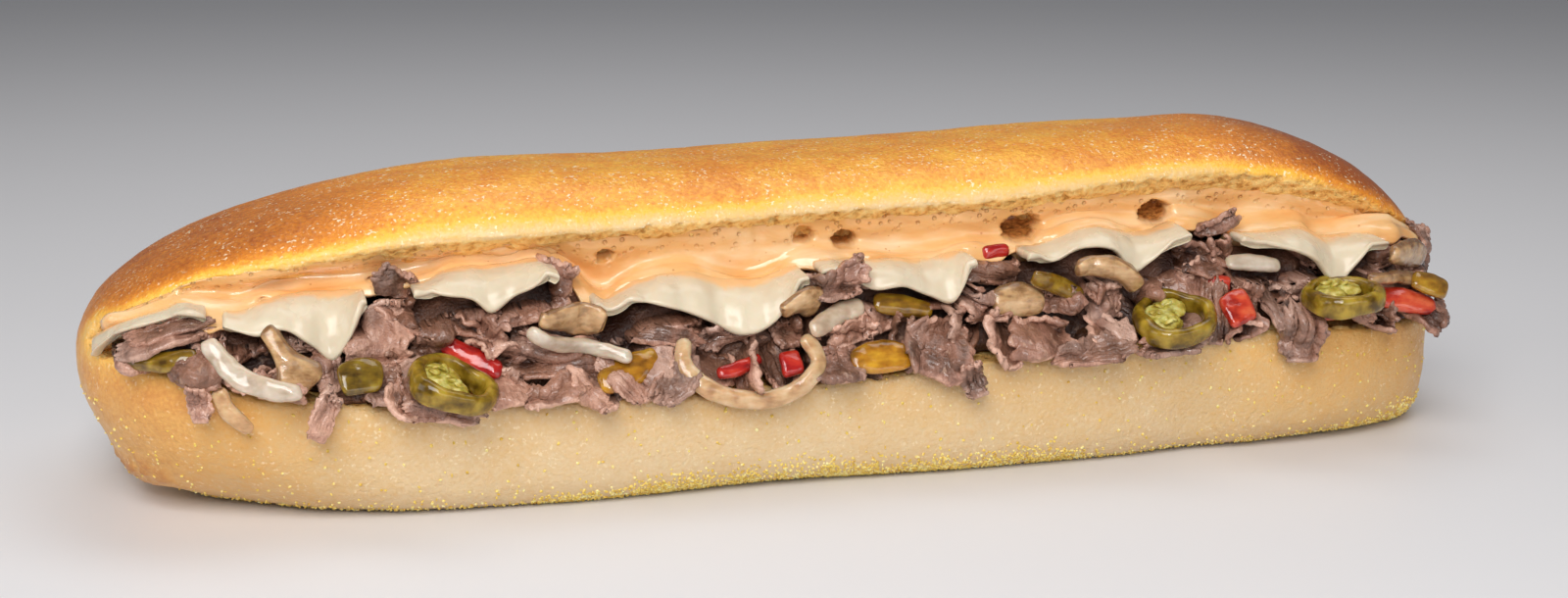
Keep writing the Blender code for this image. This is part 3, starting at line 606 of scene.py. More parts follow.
def fullness(x):
    """How deep the mouth is at x, from 0 at its left tip to 1 along most of the roll."""
    return np.minimum(1.0, (hinge_y(x) - heap_front(x)) / 62)


def crest_y(x):
    return heap_front(x) + CREST_SET_BACK * fullness(x)


def crest_share(x):
    lip = front_edge(x, top_lip(x))
    return np.maximum((crest_y(x) - lip) / (hinge_y(x) - lip), 0.04)


def sauce_foot(x):
    """The height of the heap's crest, where sauce, cheese and steak meet."""
    return np.minimum(np.interp(x, XS, SAUCE_FOOT), mouth_top(x, crest_share(x)) - 1.4 * fullness(x))


def along(x, size, offset):
    return noise_at(points_at(x, 0, 0), size, 2, offset)


def through(points, share):
    """Places at shares of the smooth curve through points, which is an array of points by rows."""
    points = np.asarray(points, float)
    last = len(points) - 1
    position = np.clip(share, 0, 1) * last
    i = np.minimum(position.astype(int), last - 1)
    t = (position - i).reshape(-1, *[1] * (points.ndim - 1))
    a, b, c, d = (points[np.clip(i + k, 0, last)] for k in (-1, 0, 1, 2))
    return b + 0.5 * t * (c - a + t * (2 * a - 5 * b + 4 * c - d + t * (3 * (b - c) + d - a)))


def sheet(over, under):
    """Points and faces of a closed sheet between two grids of points of the same size."""
    rows, columns = over.shape[:2]
    total = rows * columns
    index = np.arange(total).reshape(rows, columns)
    a, b, c, d = index[:-1, :-1], index[1:, :-1], index[1:, 1:], index[:-1, 1:]
    top = np.stack([a, b, c, d], -1).reshape(-1, 4)
    bottom = np.stack([a, d, c, b], -1).reshape(-1, 4) + total
    edge = np.concatenate([index[0, :-1], index[:-1, -1], index[-1, :0:-1], index[:0:-1, 0]])
    after = np.roll(edge, -1)
    rim = np.stack([edge, after, after + total, edge + total], -1)
    faces = np.concatenate([top, bottom, rim]).tolist()
    return np.concatenate([over.reshape(-1, 3), under.reshape(-1, 3)]), faces


def grid_normals(grid):
    along_rows = np.gradient(grid, axis=0)
    along_columns = np.gradient(grid, axis=1)
    normal = np.cross(along_rows, along_columns)
    return normal / np.maximum(np.linalg.norm(normal, axis=-1, keepdims=True), 1e-9)


def front_normals(grid):
    """The normals of a sheet whose lowest row faces the front."""
    normal = grid_normals(grid)
    return -normal if normal[-1, :, 1].mean() > 0 else normal


def sauce_grid():
    x = np.linspace(SAUCE_LEFT, SAUCE_RIGHT, SAUCE_STEPS)
    full = fullness(x)
    crest = crest_share(x)
    foot = sauce_foot(x)
    strip = 0.030 + 0.034 * smooth((x + 110) / 50) + 0.03 * smooth((x - 60) / 40)
    start = np.clip(strip + 0.010 * along(x, 9, 2) + 0.006 * along(x, 3, 5), 0.008, 0.11)
    runs = np.clip(along(x, 9, 31) + 0.1, 0, 1)
    drip = sum(fall * np.exp(-(((x - place) / width) ** 2)) for place, fall, width in DRIPS)
    lip_y, lip_z = depth_y(x, start), mouth_top(x, start)
    back = crest_y(x) + 1.2 * full
    front = crest_y(x) - (1.2 + 2.0 * runs + drip * 1.3) * full
    sections = [
        (lip_y - 0.2, lip_z + 0.5),
        (lip_y * 0.86 + back * 0.14 + 0.3, lip_z * 0.8 + foot * 0.2 - 0.2),
        (lip_y * 0.45 + back * 0.55 + 1.4 * full, lip_z * 0.45 + foot * 0.55 + 0.2),
        (back + 1.2 * full, foot + 2.0 * full),
        (back, foot + 0.9),
        (front * 0.5 + back * 0.5, foot + 0.3 - drip * 0.25 * full),
        (front, foot - 0.9 - (1.6 * runs + drip) * full),
    ]
    points = np.stack([points_at(x, y, z) for y, z in sections])
    grid = through(points, np.linspace(0, 1, SAUCE_ROWS))
    return np.transpose(grid, (1, 0, 2))


def make_sauce():
    grid = sauce_grid()
    normal = grid_normals(grid)
    if normal[:, :, 1].mean() > 0:
        normal = -normal
    shape = grid.shape[:2]
    unpushed = grid
    slant = grid @ np.array([[1, 0, 0.35], [0, 1, 0], [0, 0, 1]])
    smears = noise_at(slant * (0.30, 1, 1), 4.2, 2, 4)
    swells = noise_at(grid * (0.6, 1, 1), 9, 2, 14)
    fade = np.clip(np.minimum(np.arange(SAUCE_ROWS), np.arange(SAUCE_ROWS)[::-1]) / 5, 0, 1)[None, :]
    grid = grid + normal * ((smears * 0.45 + swells * 1.2) * fade)[..., None]
    pore = np.zeros(shape)
    for place, radius in pore_places():
        across = (grid - place) * (0.72, 0.25, 0.95)
        away = np.linalg.norm(across, axis=-1) / radius + 0.22 * noise_at(unpushed, 2.2, 2, 6)
        inside = 1 - smooth((away - 0.75) / 0.4)
        grid = grid + np.array([0, 6.5, 0.8]) * inside[..., None]
        pore = np.maximum(pore, inside)
    under = grid - normal * 1.0
    points, faces = sheet(grid, under)
    made = new_object("creamy_sauce", points, faces)
    down = np.linspace(0, 1, SAUCE_ROWS)[None, :] + np.zeros(shape)
    return finish_surface(made, pore=np.tile(pore.ravel(), 2), down=np.tile(down.ravel(), 2))


def sauce_material():
    paint = Paint("creamy pepper sauce")
    pore = paint.attribute("pore")
    streak = paint.noise(5, 4, paint.scaled(paint.place, (0.3, 1, 1)))
    colour = paint.ramp(
        streak,
        (0.3, (0.78, 0.36, 0.11)),
        (0.5, (0.88, 0.50, 0.20)),
        (0.72, (0.94, 0.66, 0.38)),
    )
    edge = paint.attribute("down") + (paint.noise(6, 4) - 0.5) * 0.5
    thin = 1 - edge.step(0.02, 0.42)
    # Painted shade: small pits in the thin sauce by the lip are sunk in its relief and coloured darker.
    pits = (1 - paint.cells(1.7).step(0.16, 0.36)) * thin
    colour = paint.blend(thin * 0.6, colour, (0.74, 0.37, 0.105))
    colour = paint.blend(pits * 0.4, colour, (0.42, 0.16, 0.03))
    speck = (1 - paint.cells(2.2).step(0.08, 0.16)) * paint.noise(3, 1).step(0.45, 0.6)
    colour = paint.blend(speck * 0.6, colour, (0.50, 0.14, 0.02))
    # Painted shade: the sauce is coloured dark inside the bread's pores.
    inner = paint.ramp(paint.noise(0.9, 3), (0.35, (0.20, 0.06, 0.010)), (0.65, (0.60, 0.25, 0.06)))
    colour = paint.blend(pore.step(0.30, 0.75), colour, inner)
    return paint.finish(
        Base_Color=colour,
        Roughness=0.16 + pore * 0.3 + thin * 0.15,
        Normal=paint.bump(streak - pits * 0.8, 0.5),
        Subsurface_Weight=0.1,
        Subsurface_Scale=0.002,
        Coat_Weight=0.5,
        Coat_Roughness=0.05,
    )


sauce = make_sauce()
dress(sauce, sauce_material(), "sauce", "sauce")


# The cheese. Seven slices of white cheese, warmed until they drape over the front of the heap with their
# corners hanging. Each is a soft sheet from under the sauce to its lower edge, whose outline is given.
CORE_SET_BACK = 7.0
CHEESE_THICK = 1.8
CHEESE_ROWS = 44
CHEESE_COLUMNS = 72
CHEESE_HIDDEN = 0.25
# The lower edge of each slice as (x, z), from its left corner to its right one
CHEESE_EDGES = {
    "cheese_a": ((-148, 33), (-146, 36), (-142, 39.6), (-137, 42), (-132, 43.2), (-127, 43.6)),
    "cheese_b": (
        *((-124, 40.6), (-118, 38.6), (-113, 39.6), (-108, 36.4)),
        *((-104, 32.8), (-100.5, 37), (-97, 44.6)),
    ),
    "cheese_c": ((-88, 46.6), (-83, 44.6), (-77, 43.4), (-73, 40.6), (-68.5, 43.6), (-64, 46), (-60, 50.6)),
    "cheese_d": (
        *((-53, 40.2), (-45, 41), (-37, 39.2), (-30, 36.4)),
        *((-24, 33.2), (-18, 34), (-13, 39), (-9, 47)),
    ),
    "cheese_e": ((-6, 46.6), (0, 43.4), (5, 40.6), (11, 41), (17, 38.6), (22.5, 37.4), (27, 47.6)),
    "cheese_f": ((38.5, 47), (44, 44.2), (50, 46.6), (57, 46.2), (62, 41.4), (66, 43.4), (75, 50.8)),
    "cheese_g": ((87, 47.4), (94, 45), (100, 43.4), (104.5, 41), (109.5, 35.8), (114, 40), (122, 48.4)),
}
# How far each slice's corners and middle curl out from the heap, from left to right
CHEESE_CURLS = {
    "cheese_a": (0.5, 0.5, 0.2),
    "cheese_b": (0.5, 0.8, 1.2),
    "cheese_c": (0.4, 0.6, 3.4),
    "cheese_d": (0.2, 0.8, 2.6),
    "cheese_e": (0.4, 0.8, 1.8),
    "cheese_f": (0.3, 0.8, 2.2),
    "cheese_g": (0.4, 1.2, 1.6),
}


def core_y(x):
    return heap_front(x) + CORE_SET_BACK * fullness(x)


def rounded(rows, columns, height, width, radius):
    """How thick a sheet of this size is over its grid: 1 inside, and round towards its edges."""
    u = np.linspace(0, height, rows)[:, None]
    v = np.linspace(0, width, columns)[None, :]
    inset = np.minimum(np.minimum(v, width - v), height - u) / radius
    away = 1 - np.clip(inset, 0, 1)
    return np.sqrt(np.maximum(1 - away**2, 0.02)) + 0 * u


def make_cheese(name, edge):
    spread = np.linspace(0, 1, CHEESE_COLUMNS)
    spread = spread * 0.7 + smooth(spread) * 0.3
    low = through(edge, spread)
    x = low[:, 0]
    full = fullness(x)
    crest = crest_share(x)
    top_y = crest_y(x)
    top_z = sauce_foot(x) - 0.3 - CHEESE_THICK / 2
    end_z = np.minimum(low[:, 1], top_z - 0.6)
    curls = through(np.array(CHEESE_CURLS[name])[:, None], spread)[:, 0]
    end_y = core_y(x) - 2.2 * full - curls
    rows = []
    for v in np.linspace(0, 1, CHEESE_ROWS):
        if v < CHEESE_HIDDEN:
            back = 1 - v / CHEESE_HIDDEN
            share = crest + 0.14 * back
            sink = np.minimum(mouth_top(x, share) - mouth_top(x, crest) - 1.5 * back, -1.0 * back)
            y = depth_y(x, share) + (top_y - depth_y(x, crest)) * (1 - back)
            rows.append(points_at(x, y, top_z + sink))
        else:
            drop = (v - CHEESE_HIDDEN) / (1 - CHEESE_HIDDEN)
            y = top_y - (top_y - end_y) * np.sin(drop * np.pi / 2) ** 0.9
            rows.append(points_at(x, y, top_z - (top_z - end_z) * (0.35 * drop + 0.65 * drop**2)))
    grid = np.array(rows)
    normal = front_normals(grid)
    hang = np.clip(np.linspace(0, 1, CHEESE_ROWS) - CHEESE_HIDDEN, 0, 1)[:, None] / (1 - CHEESE_HIDDEN)
    waves = noise_at(grid * (1, 0.3, 0.3), 6, 2, 21) * (0.25 + 1.2 * hang)
    dimples = noise_at(grid, 2.6, 2, 8) * 0.10
    grid = grid + normal * (waves + dimples)[..., None]
    lip = 1 + 0.35 * smooth((hang - 0.8) / 0.15)
    thick = rounded(CHEESE_ROWS, CHEESE_COLUMNS, 20, x[-1] - x[0], 1.2) * lip * CHEESE_THICK / 2
    thick = thick[..., None] * normal
    points, faces = sheet(grid + thick, grid - thick)
    cheese = new_object("slice_of_" + name, points, faces)
    return finish_surface(cheese, hang=np.tile(hang.repeat(CHEESE_COLUMNS), 2))


def cheese_material():
    paint = Paint("white melted cheese")
    hang = paint.attribute("hang")
    wander = paint.noise(6, 3, paint.scaled(paint.place, (1, 1, 0.5)))
    sauced = 1 - (hang + (wander - 0.5) * 0.5).step(0.08, 0.26)
    pale = paint.ramp(paint.noise(7, 3), (0.3, (0.66, 0.55, 0.39)), (0.7, (0.73, 0.625, 0.455)))
    colour = paint.blend(sauced * 0.85, pale, (0.88, 0.52, 0.22))
    return paint.finish(
        Base_Color=colour,
        Roughness=0.27 + (wander - 0.5) * 0.1,
        Normal=paint.bump(paint.noise(3.2, 2), 0.15),
        Subsurface_Weight=0.15,
        Subsurface_Scale=0.002,
    )


white_cheese = cheese_material()
slices = [make_cheese(name, edge) for name, edge in CHEESE_EDGES.items()]
for name, piece in zip(CHEESE_EDGES, slices):
    dress(piece, white_cheese, "cheese", name)


# The vegetables in the heap. Strips and slices of pickled green pepper, red pepper, onion and mushroom
# lie on its front. Each takes its form from its solid, smoothed and made uneven, and shines wet.
ROUNDING_LEVELS = 3


def soften_node(node, swell, rounds, tint):
    """A smooth copy of a solid, swollen a little to make up for its rounding, with an uneven surface."""
    name = "cut_" + node
    bm = bmesh.new()
    bm.from_mesh(frame["nodes"][node].data)
    bmesh.ops.remove_doubles(bm, verts=bm.verts, dist=1e-5)
    flat, square = math.radians(50), math.radians(80)
    bmesh.ops.join_triangles(bm, faces=bm.faces, angle_face_threshold=flat, angle_shape_threshold=square)
    obj = bmesh_object(name, bm)
    modifier = obj.modifiers.new("rounding", "SUBSURF")
    modifier.levels = ROUNDING_LEVELS
    modifier.render_levels = ROUNDING_LEVELS
    soften(obj, rounds)
    finish_modifiers(obj)
    points = coordinates(obj.data)
    facing = np.abs(normals(obj.data))
    skin = smooth((facing[:, 2] + facing[:, 0] * 0.7 - 0.55) / 0.5)
    push_out(obj.data, swell + noise_at(points, 3.2, 2, len(name)) * 0.22)
    return finish_surface(obj, tint=np.full(len(points), tint), skin=skin)


def vegetable_material(name, colours, tinted, skin, roughness, through_light, grain, depth):
    """Wet flesh in soft clouds of three colours, or three others where it is tinted, and its skin's."""
    paint = Paint(name)
    tint = paint.attribute("tint")
    clouds = paint.noise(4.5, 3)
    lines = paint.noise(grain, 3, paint.scaled(paint.place, (0.4, 1, 1)))
    mix = clouds * 0.65 + lines * 0.35
    stops = (0.36, 0.5, 0.66)
    plain = paint.ramp(mix, *zip(stops, colours))
    other = paint.ramp(mix, *zip(stops, tinted))
    rind = (paint.attribute("skin") + (clouds - 0.5) * 0.8).step(0.2, 0.8)
    flesh = paint.blend(tint, plain, other)
    return paint.finish(
        Base_Color=paint.blend(rind * skin[1], flesh, skin[0]),
        Roughness=roughness + (clouds - 0.5) * 0.15,
        Normal=paint.bump(lines * 0.6 + clouds * 0.4, depth),
        Coat_Weight=0.5,
        Coat_Roughness=0.04,
        Subsurface_Weight=through_light,
        Subsurface_Scale=0.003,
    )


# For each kind: its slot, how far each piece is tinted, the three colours of its flesh, the three where it
# is tinted, its skin's colour and how much of it shows, then its roughness, the light that it lets through, the
# size and depth of its lines, and last how far its form is swollen and how many times it is smoothed
VEGETABLES = {
    "pepper": (
        "green_pepper",
        {"a": 0.1, "b": 0, "d": 0.9, "e": 0.35, "f": 1, "g": 0.2, "j": 0.5},
        ((0.060, 0.030, 0.003), (0.200, 0.118, 0.008), (0.40, 0.27, 0.025)),
        ((0.170, 0.060, 0.004), (0.42, 0.170, 0.010), (0.66, 0.34, 0.022)),
        ((0.16, 0.085, 0.006), 0.35),
        (0.14, 0.15, 1.4, 0.15),
        (0.26, 5),
    ),
    "red": (
        "red_pepper",
        {"a": 0, "b": 0.1, "c": 0, "e": 0, "f": 0.9, "g": 1, "h": 0.2, "i": 0.8},
        ((0.16, 0.004, 0.004), (0.42, 0.012, 0.010), (0.62, 0.045, 0.02)),
        ((0.30, 0.012, 0.006), (0.58, 0.05, 0.02), (0.75, 0.16, 0.06)),
        ((0.30, 0.008, 0.006), 0.3),
        (0.14, 0.12, 1.5, 0.3),
        (0.26, 5),
    ),
    "onion": (
        "onion",
        {"a": 0.05, "b": 0.9, "c": 0, "d": 0.85, "e": 0.25, "f": 0},
        ((0.46, 0.36, 0.26), (0.58, 0.48, 0.37), (0.70, 0.61, 0.50)),
        ((0.42, 0.20, 0.07), (0.62, 0.36, 0.15), (0.76, 0.54, 0.30)),
        ((0.60, 0.44, 0.28), 0.4),
        (0.2, 0.3, 1.2, 0.12),
        (0.5, 40),
    ),
    "mushroom": (
        "mushroom",
        {"a": 0.7, "b": 0.5, "c": 0.8, "d": 0.6, "e": 0.7, "f": 0.4, "g": 0.3},
        ((0.15, 0.070, 0.026), (0.42, 0.230, 0.095), (0.66, 0.41, 0.20)),
        ((0.26, 0.12, 0.04), (0.58, 0.35, 0.16), (0.78, 0.56, 0.31)),
        ((0.17, 0.075, 0.028), 0.75),
        (0.28, 0.2, 1.1, 0.3),
        (0.36, 14),
    ),
}
for kind, (slot, tints, plain, tinted, skin, surface, form) in VEGETABLES.items():
    flesh = vegetable_material("cooked " + kind, plain, tinted, skin, *surface)
    for letter, tint in tints.items():
        node = kind + "_" + letter
        dress(soften_node(node, *form, tint), flesh, slot, node)


# The pepper rings. Three rounds of pickled pepper, cut across, with thick glossy walls and pale pulp and
# seeds inside. They lie on the bottom bun's lip, tipped towards the front.
RING_WALL = 2.3
RING_HEIGHT = 4.6
SEEDS = 9
# For each ring: its centre, half width, tip towards the front, roll, and the turn of its pulp, in degrees
RING_PLACES = {
    "pepper_c": ((-82.0, -44.5, 28.6), 8.4, 14, -20, 200),
    "pepper_h": ((69.6, -42.5, 31.8), 8.4, 20, 8, 150),
    "pepper_i": ((107.2, -45.5, 35.0), 8.4, 4, 4, 120),
}


def turned(points, tip, roll):
    """Points with the ring's axis tipped from +Z towards -Y, and then rolled in the picture's plane."""
    t, r = math.radians(tip), math.radians(roll)
    x, y, z = points[..., 0], points[..., 1], points[..., 2]
    y, z = y * math.cos(t) - z * math.sin(t), y * math.sin(t) + z * math.cos(t)
    x, z = x * math.cos(r) - z * math.sin(r), x * math.sin(r) + z * math.cos(r)
    return points_at(x, y, z)


def blob(size, seed, squares=20):
    """A lumpy ball of these half sizes, as rings of points round its axis."""
    u = np.linspace(0.02, np.pi - 0.02, squares)[:, None]
    v = np.linspace(0, 2 * np.pi, squares, endpoint=False)[None, :]
    ball = points_at(np.sin(u) * np.cos(v), np.sin(u) * np.sin(v), np.cos(u))
    return ball * (1 + 0.22 * noise_at(ball * 10, 8, 3, seed))[..., None] * size


def joined(parts):
    """The points and faces of many parts as one."""
    points, faces = [], []
    total = 0
    for some, some_faces in parts:
        points.append(some.reshape(-1, 3))
        faces += [[i + total for i in face] for face in some_faces]
        total += len(points[-1])
    return np.concatenate(points), faces


def make_ring(node, centre, half, tip, roll, pulp_turn):
    """The wall, pulp and seeds of one ring of pepper, as one object."""
    around = np.linspace(0, 2 * np.pi, 96, endpoint=False)[:, None]
    corner = np.linspace(0, 2 * np.pi, 28, endpoint=False)[None, :]
    lobes = 1 + 0.05 * np.sin(3 * around + half) + 0.03 * np.sin(5 * around)
    power = 2 / 3.2
    out = np.sign(np.cos(corner)) * np.abs(np.cos(corner)) ** power * RING_WALL / 2
    up = np.sign(np.sin(corner)) * np.abs(np.sin(corner)) ** power * RING_HEIGHT / 2
    radius = (half - RING_WALL / 2) * lobes + out * (1 + 0.15 * np.sin(2 * around + 1))
    bulge = 0.5 * (1 - (2 * up / RING_HEIGHT) ** 2) * (out > 0)
    radius = radius + bulge
    wall = points_at(radius * np.cos(around), radius * np.sin(around), up)[::-1]
    chance = random.Random(half + pulp_turn)
    parts = [(wall, True, 0.35, 0.0)]
    inner = half - RING_WALL
    for k in range(4):
        angle = math.radians(pulp_turn + (k - 1.5) * 42)
        ball = blob((inner * 0.58, inner * 0.52, 1.5), k + half)
        ball = ball + (inner * 0.5 * math.cos(angle), inner * 0.5 * math.sin(angle), 0.5)
        parts.append((ball, False, 0.5, 1.0))
    for k in range(SEEDS):
        angle = math.radians(pulp_turn + chance.uniform(-90, 90))
        reach = inner * chance.uniform(0.3, 0.8)
        ball = blob((1.15, 0.95, 0.45), 3 * k + half, 12)
        ball = turned(ball, chance.uniform(-40, 40), chance.uniform(-40, 40))
        ball = ball + (reach * math.cos(angle), reach * math.sin(angle), 2.1)
        parts.append((ball, False, 0.6, 1.0))
    points, faces = joined([(grid, tube_faces(*grid.shape[:2], closed)) for grid, closed, *_ in parts])
    points = turned(points, tip, roll) + centre
    points = points + noise_at(points, 5, 2, half)[:, None] * (0.25, 0.25, 0.35)
    tint, pulp = (np.concatenate([np.full(part[0].size // 3, part[i]) for part in parts]) for i in (2, 3))
    return finish_surface(new_object("ring_" + node, points, faces), tint=tint, pulp=pulp)


def ring_material():
    paint = Paint("pepper ring")
    pulp = paint.attribute("pulp")
    clouds = paint.noise(3.5, 3)
    fine = paint.noise(1.7, 2)
    greens = (0.095, 0.050, 0.004), (0.24, 0.145, 0.010), (0.42, 0.28, 0.03)
    yellows = (0.30, 0.21, 0.02), (0.48, 0.37, 0.05), (0.70, 0.60, 0.20)
    skin = paint.ramp(clouds, *zip((0.35, 0.5, 0.66), greens))
    soft = paint.ramp(fine, *zip((0.35, 0.5, 0.68), yellows))
    return paint.finish(
        Base_Color=paint.blend(pulp, skin, soft),
        Roughness=0.13 + pulp * 0.15,
        Normal=paint.bump(clouds * 0.4 + fine * 0.3, 0.2),
        Subsurface_Weight=0.2,
        Subsurface_Scale=0.003,
    )


ring_finish = ring_material()
for node, place in RING_PLACES.items():
    dress(make_ring(node, *place), ring_finish, "green_pepper", node)


# The steak. Thin shavings of beef, fried and heaped: a core painted dark as the shade in the gaps, with each
# visible shaving on it as a crumpled, ragged sheet of its own, darker with painted shade where it lies deep.
# The large ones lie where they show, and smaller ones fill the rest.
STEAK_LEFT = -145.0
STEAK_RIGHT = 141.0
# How dark the core is painted, as the shade in the gaps between shavings, and how much lighter the shavings'
# edges are.
CORE_TONE = -0.35
EDGE_TONE = 0.42


def crumple(points):
    folds = 1 - 2.2 * np.abs(noise_at(points, 6, 2, 0.7))
    lumps = noise_at(points, 14, 2, 3.1)
    return 2.4 * np.maximum(0, folds * 0.75 + lumps * 0.9)


def steak_top(x):
    """The height of the steak under the front of the cheese."""
    return sauce_foot(x) - CHEESE_THICK - 1.2


def make_core():
    """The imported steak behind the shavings, from the bottom bun's crumb up to the cheese."""
    x = np.linspace(STEAK_LEFT, STEAK_RIGHT, 420)[:, None]
    full = fullness(x)
    crest = crest_share(x)
    deep = np.minimum(crest + 0.25, 0.6)
    floor = bottom_lip(x) + 0.4
    top = steak_top(x)
    shoulder = np.maximum(floor + (top - floor) * 0.6, top - 4 * full)
    k = np.linspace(0, 1, 40)[None, :]
    z = floor + (shoulder - floor) * k
    y = core_y(x) + (crest_y(x) - core_y(x)) * 0.4 * k**4 + 2.6 * full
    front = points_at(x, y, z)
    relief = crumple(front) * full * (1 - k**6 * 0.6)
    front[..., 1] -= relief
    shares = crest + (deep - crest) * np.linspace(0, 1, 6)[None, :]
    below = mouth_top(x, shares) - mouth_top(x, crest)
    roof = points_at(x, depth_y(x, shares), top + below - 1)
    ground = points_at(x, depth_y(x, shares), mouth_floor(x, shares) + 0.4)[:, ::-1]
    made = loft("steak_heap", np.concatenate([front, roof, ground], 1))
    grain = coordinates(made.data) * (0.3, 1, 1)
    # The core gets a dark tone: painted shade for the gaps between the shavings.
    return finish_surface(made, grain=grain, tone=np.full(len(grain), CORE_TONE))


def face_y(x, z):
    return core_y(x) + (crest_y(x) - core_y(x)) * smooth((z - steak_top(x) + 8) / 8)


def drape_y(x, z):
    """The Y of something that lies on the heap's front and hangs over the bottom bun's lip."""
    x = np.minimum(x, STEAK_RIGHT - 3)
    over = heap_front(x) - 1.4
    return over + (face_y(x, z) - over) * smooth((z - bottom_lip(x) - 1.5) / 7)


def wander(chance, shares, count):
    """A sum of a few random waves over the shares, from about -1 to 1."""
    total = 0 * shares
    for k in range(1, count + 1):
        size, phase = chance.uniform(-1, 1) / k**0.7, chance.uniform(0, 6.3)
        total = total + size * np.sin(2 * np.pi * k * shares + phase)
    return total


def shaving_grid(chance, width, length, fold, folds, curl, rows, columns):
    """A crumpled sheet round the origin: X is across it, Z runs along it and -Y points outwards."""
    u = np.linspace(-0.5, 0.5, rows)[:, None]
    v = np.linspace(-0.5, 0.5, columns)[None, :]
    left = 1 + 0.20 * wander(chance, u, 9) - 0.4 * np.abs(2 * u) ** 3
    right = 1 + 0.20 * wander(chance, u, 9) - 0.4 * np.abs(2 * u) ** 3
    low = 1 + 0.14 * wander(chance, v, 8)
    high = 1 + 0.14 * wander(chance, v, 8)
    across = v * width * (1 + (np.where(v < 0, left, right) - 1) * np.abs(2 * v) ** 2.5)
    lengthwise = u * length * (1 + (np.where(u < 0, low, high) - 1) * np.abs(2 * u) ** 2.5)
    phase = chance.uniform(0, 6.3)
    skew = 0.6 * chance.uniform(-1, 1)
    turn = fold * np.tanh(1.8 * np.sin(2 * np.pi * (folds * u + skew * v) + phase)) + curl * u * 2
    phase = chance.uniform(0, 6.3)
    skew = 0.5 * chance.uniform(-1, 1)
    roll = 0.6 * fold * np.sin(2 * np.pi * (0.9 * v + skew * u) + phase)
    step = np.diff(lengthwise, axis=0, prepend=lengthwise[:1])
    side = np.diff(across, axis=1, prepend=across[:, :1])
    z = np.cumsum(step * np.cos(turn), 0)
    out = np.cumsum(step * np.sin(turn), 0) + np.cumsum(side * np.sin(roll), 1)
    x = np.cumsum(side * np.cos(roll), 1) + across[:, :1]
    grid = points_at(x, -out, z)
    return grid - grid.mean((0, 1)), points_at(across, 0.0, lengthwise)


def make_shaving(chance, place, size, angles, bend, limits, coats, thick, rows, columns):
    """One shaving on the heap's front: its points over and under, its flat points and its edge share, lowered
    by painted shade where the shaving lies deep in the heap.
    """
    width, length = size
    fold, folds, curl = bend
    rise, fall = limits
    grid, flat = shaving_grid(chance, width, length, fold, folds, curl, rows, columns)
    turn, pitch, lean = angles
    for angle, (a, b) in ((pitch, (1, 2)), (lean, (1, 0)), (turn, (0, 2))):
        c, s = math.cos(math.radians(angle)), math.sin(math.radians(angle))
        first, second = grid[..., a].copy(), grid[..., b].copy()
        grid[..., a] = first * c - second * s
        grid[..., b] = first * s + second * c
    x, z = place[0] + grid[..., 0], place[1] + grid[..., 2]
    x = x - np.maximum(x - STEAK_RIGHT - 3, 0) * 0.7
    z = z - np.maximum(z - sauce_foot(x) + 3.4 - rise, 0) * 0.9
    z = z + np.maximum(bottom_lip(x) + 0.8 - fall - z, 0) * 0.8
    rest = drape_y(x, z)
    middle = drape_y(np.array(place[0]), np.array(place[1]))
    y = middle + (rest - middle) * 0.85 + grid[..., 1] - place[2]
    grid = points_at(x, y, z)
    if coats is not None:
        grid = tuck(coats, grid, 3.6)
    over, under, flat, edge = thicken(chance, grid, flat, thick)
    # Painted shade: the deeper a point lies behind the heap's front, the darker the tone it is given.
    inward = over[..., 1] - drape_y(over[..., 0], over[..., 2])
    return over, under, flat, edge - 1.7 * smooth((inward + 1) / 4)


def thicken(chance, grid, flat, thick):
    """Gives a sheet its lumps and its thickness, with thin ragged edges."""
    rows, columns = grid.shape[:2]
    normal = grid_normals(grid)
    offset = chance.uniform(0, 50)
    relief = noise_at(grid, 3.2, 3, offset) * 0.42 + noise_at(grid, 0.9, 2, offset + 9) * 0.13
    lumps = 1 + 0.5 * noise_at(grid, 3, 2, offset + 20)
    grid = grid + normal * relief[..., None]
    u = np.minimum(np.arange(rows), np.arange(rows)[::-1])[:, None]
    v = np.minimum(np.arange(columns), np.arange(columns)[::-1])[None, :]
    inset = np.clip((np.minimum(u, v) + 0.35) / 2.2, 0, 1)
    body = np.sqrt(1 - (1 - inset) ** 2)
    half = (thick / 2 * body * lumps)[..., None] * normal
    edge = 1 - np.clip(np.minimum(u, v) / 4, 0, 1)
    return grid + half, grid - half, flat + offset * 3, edge


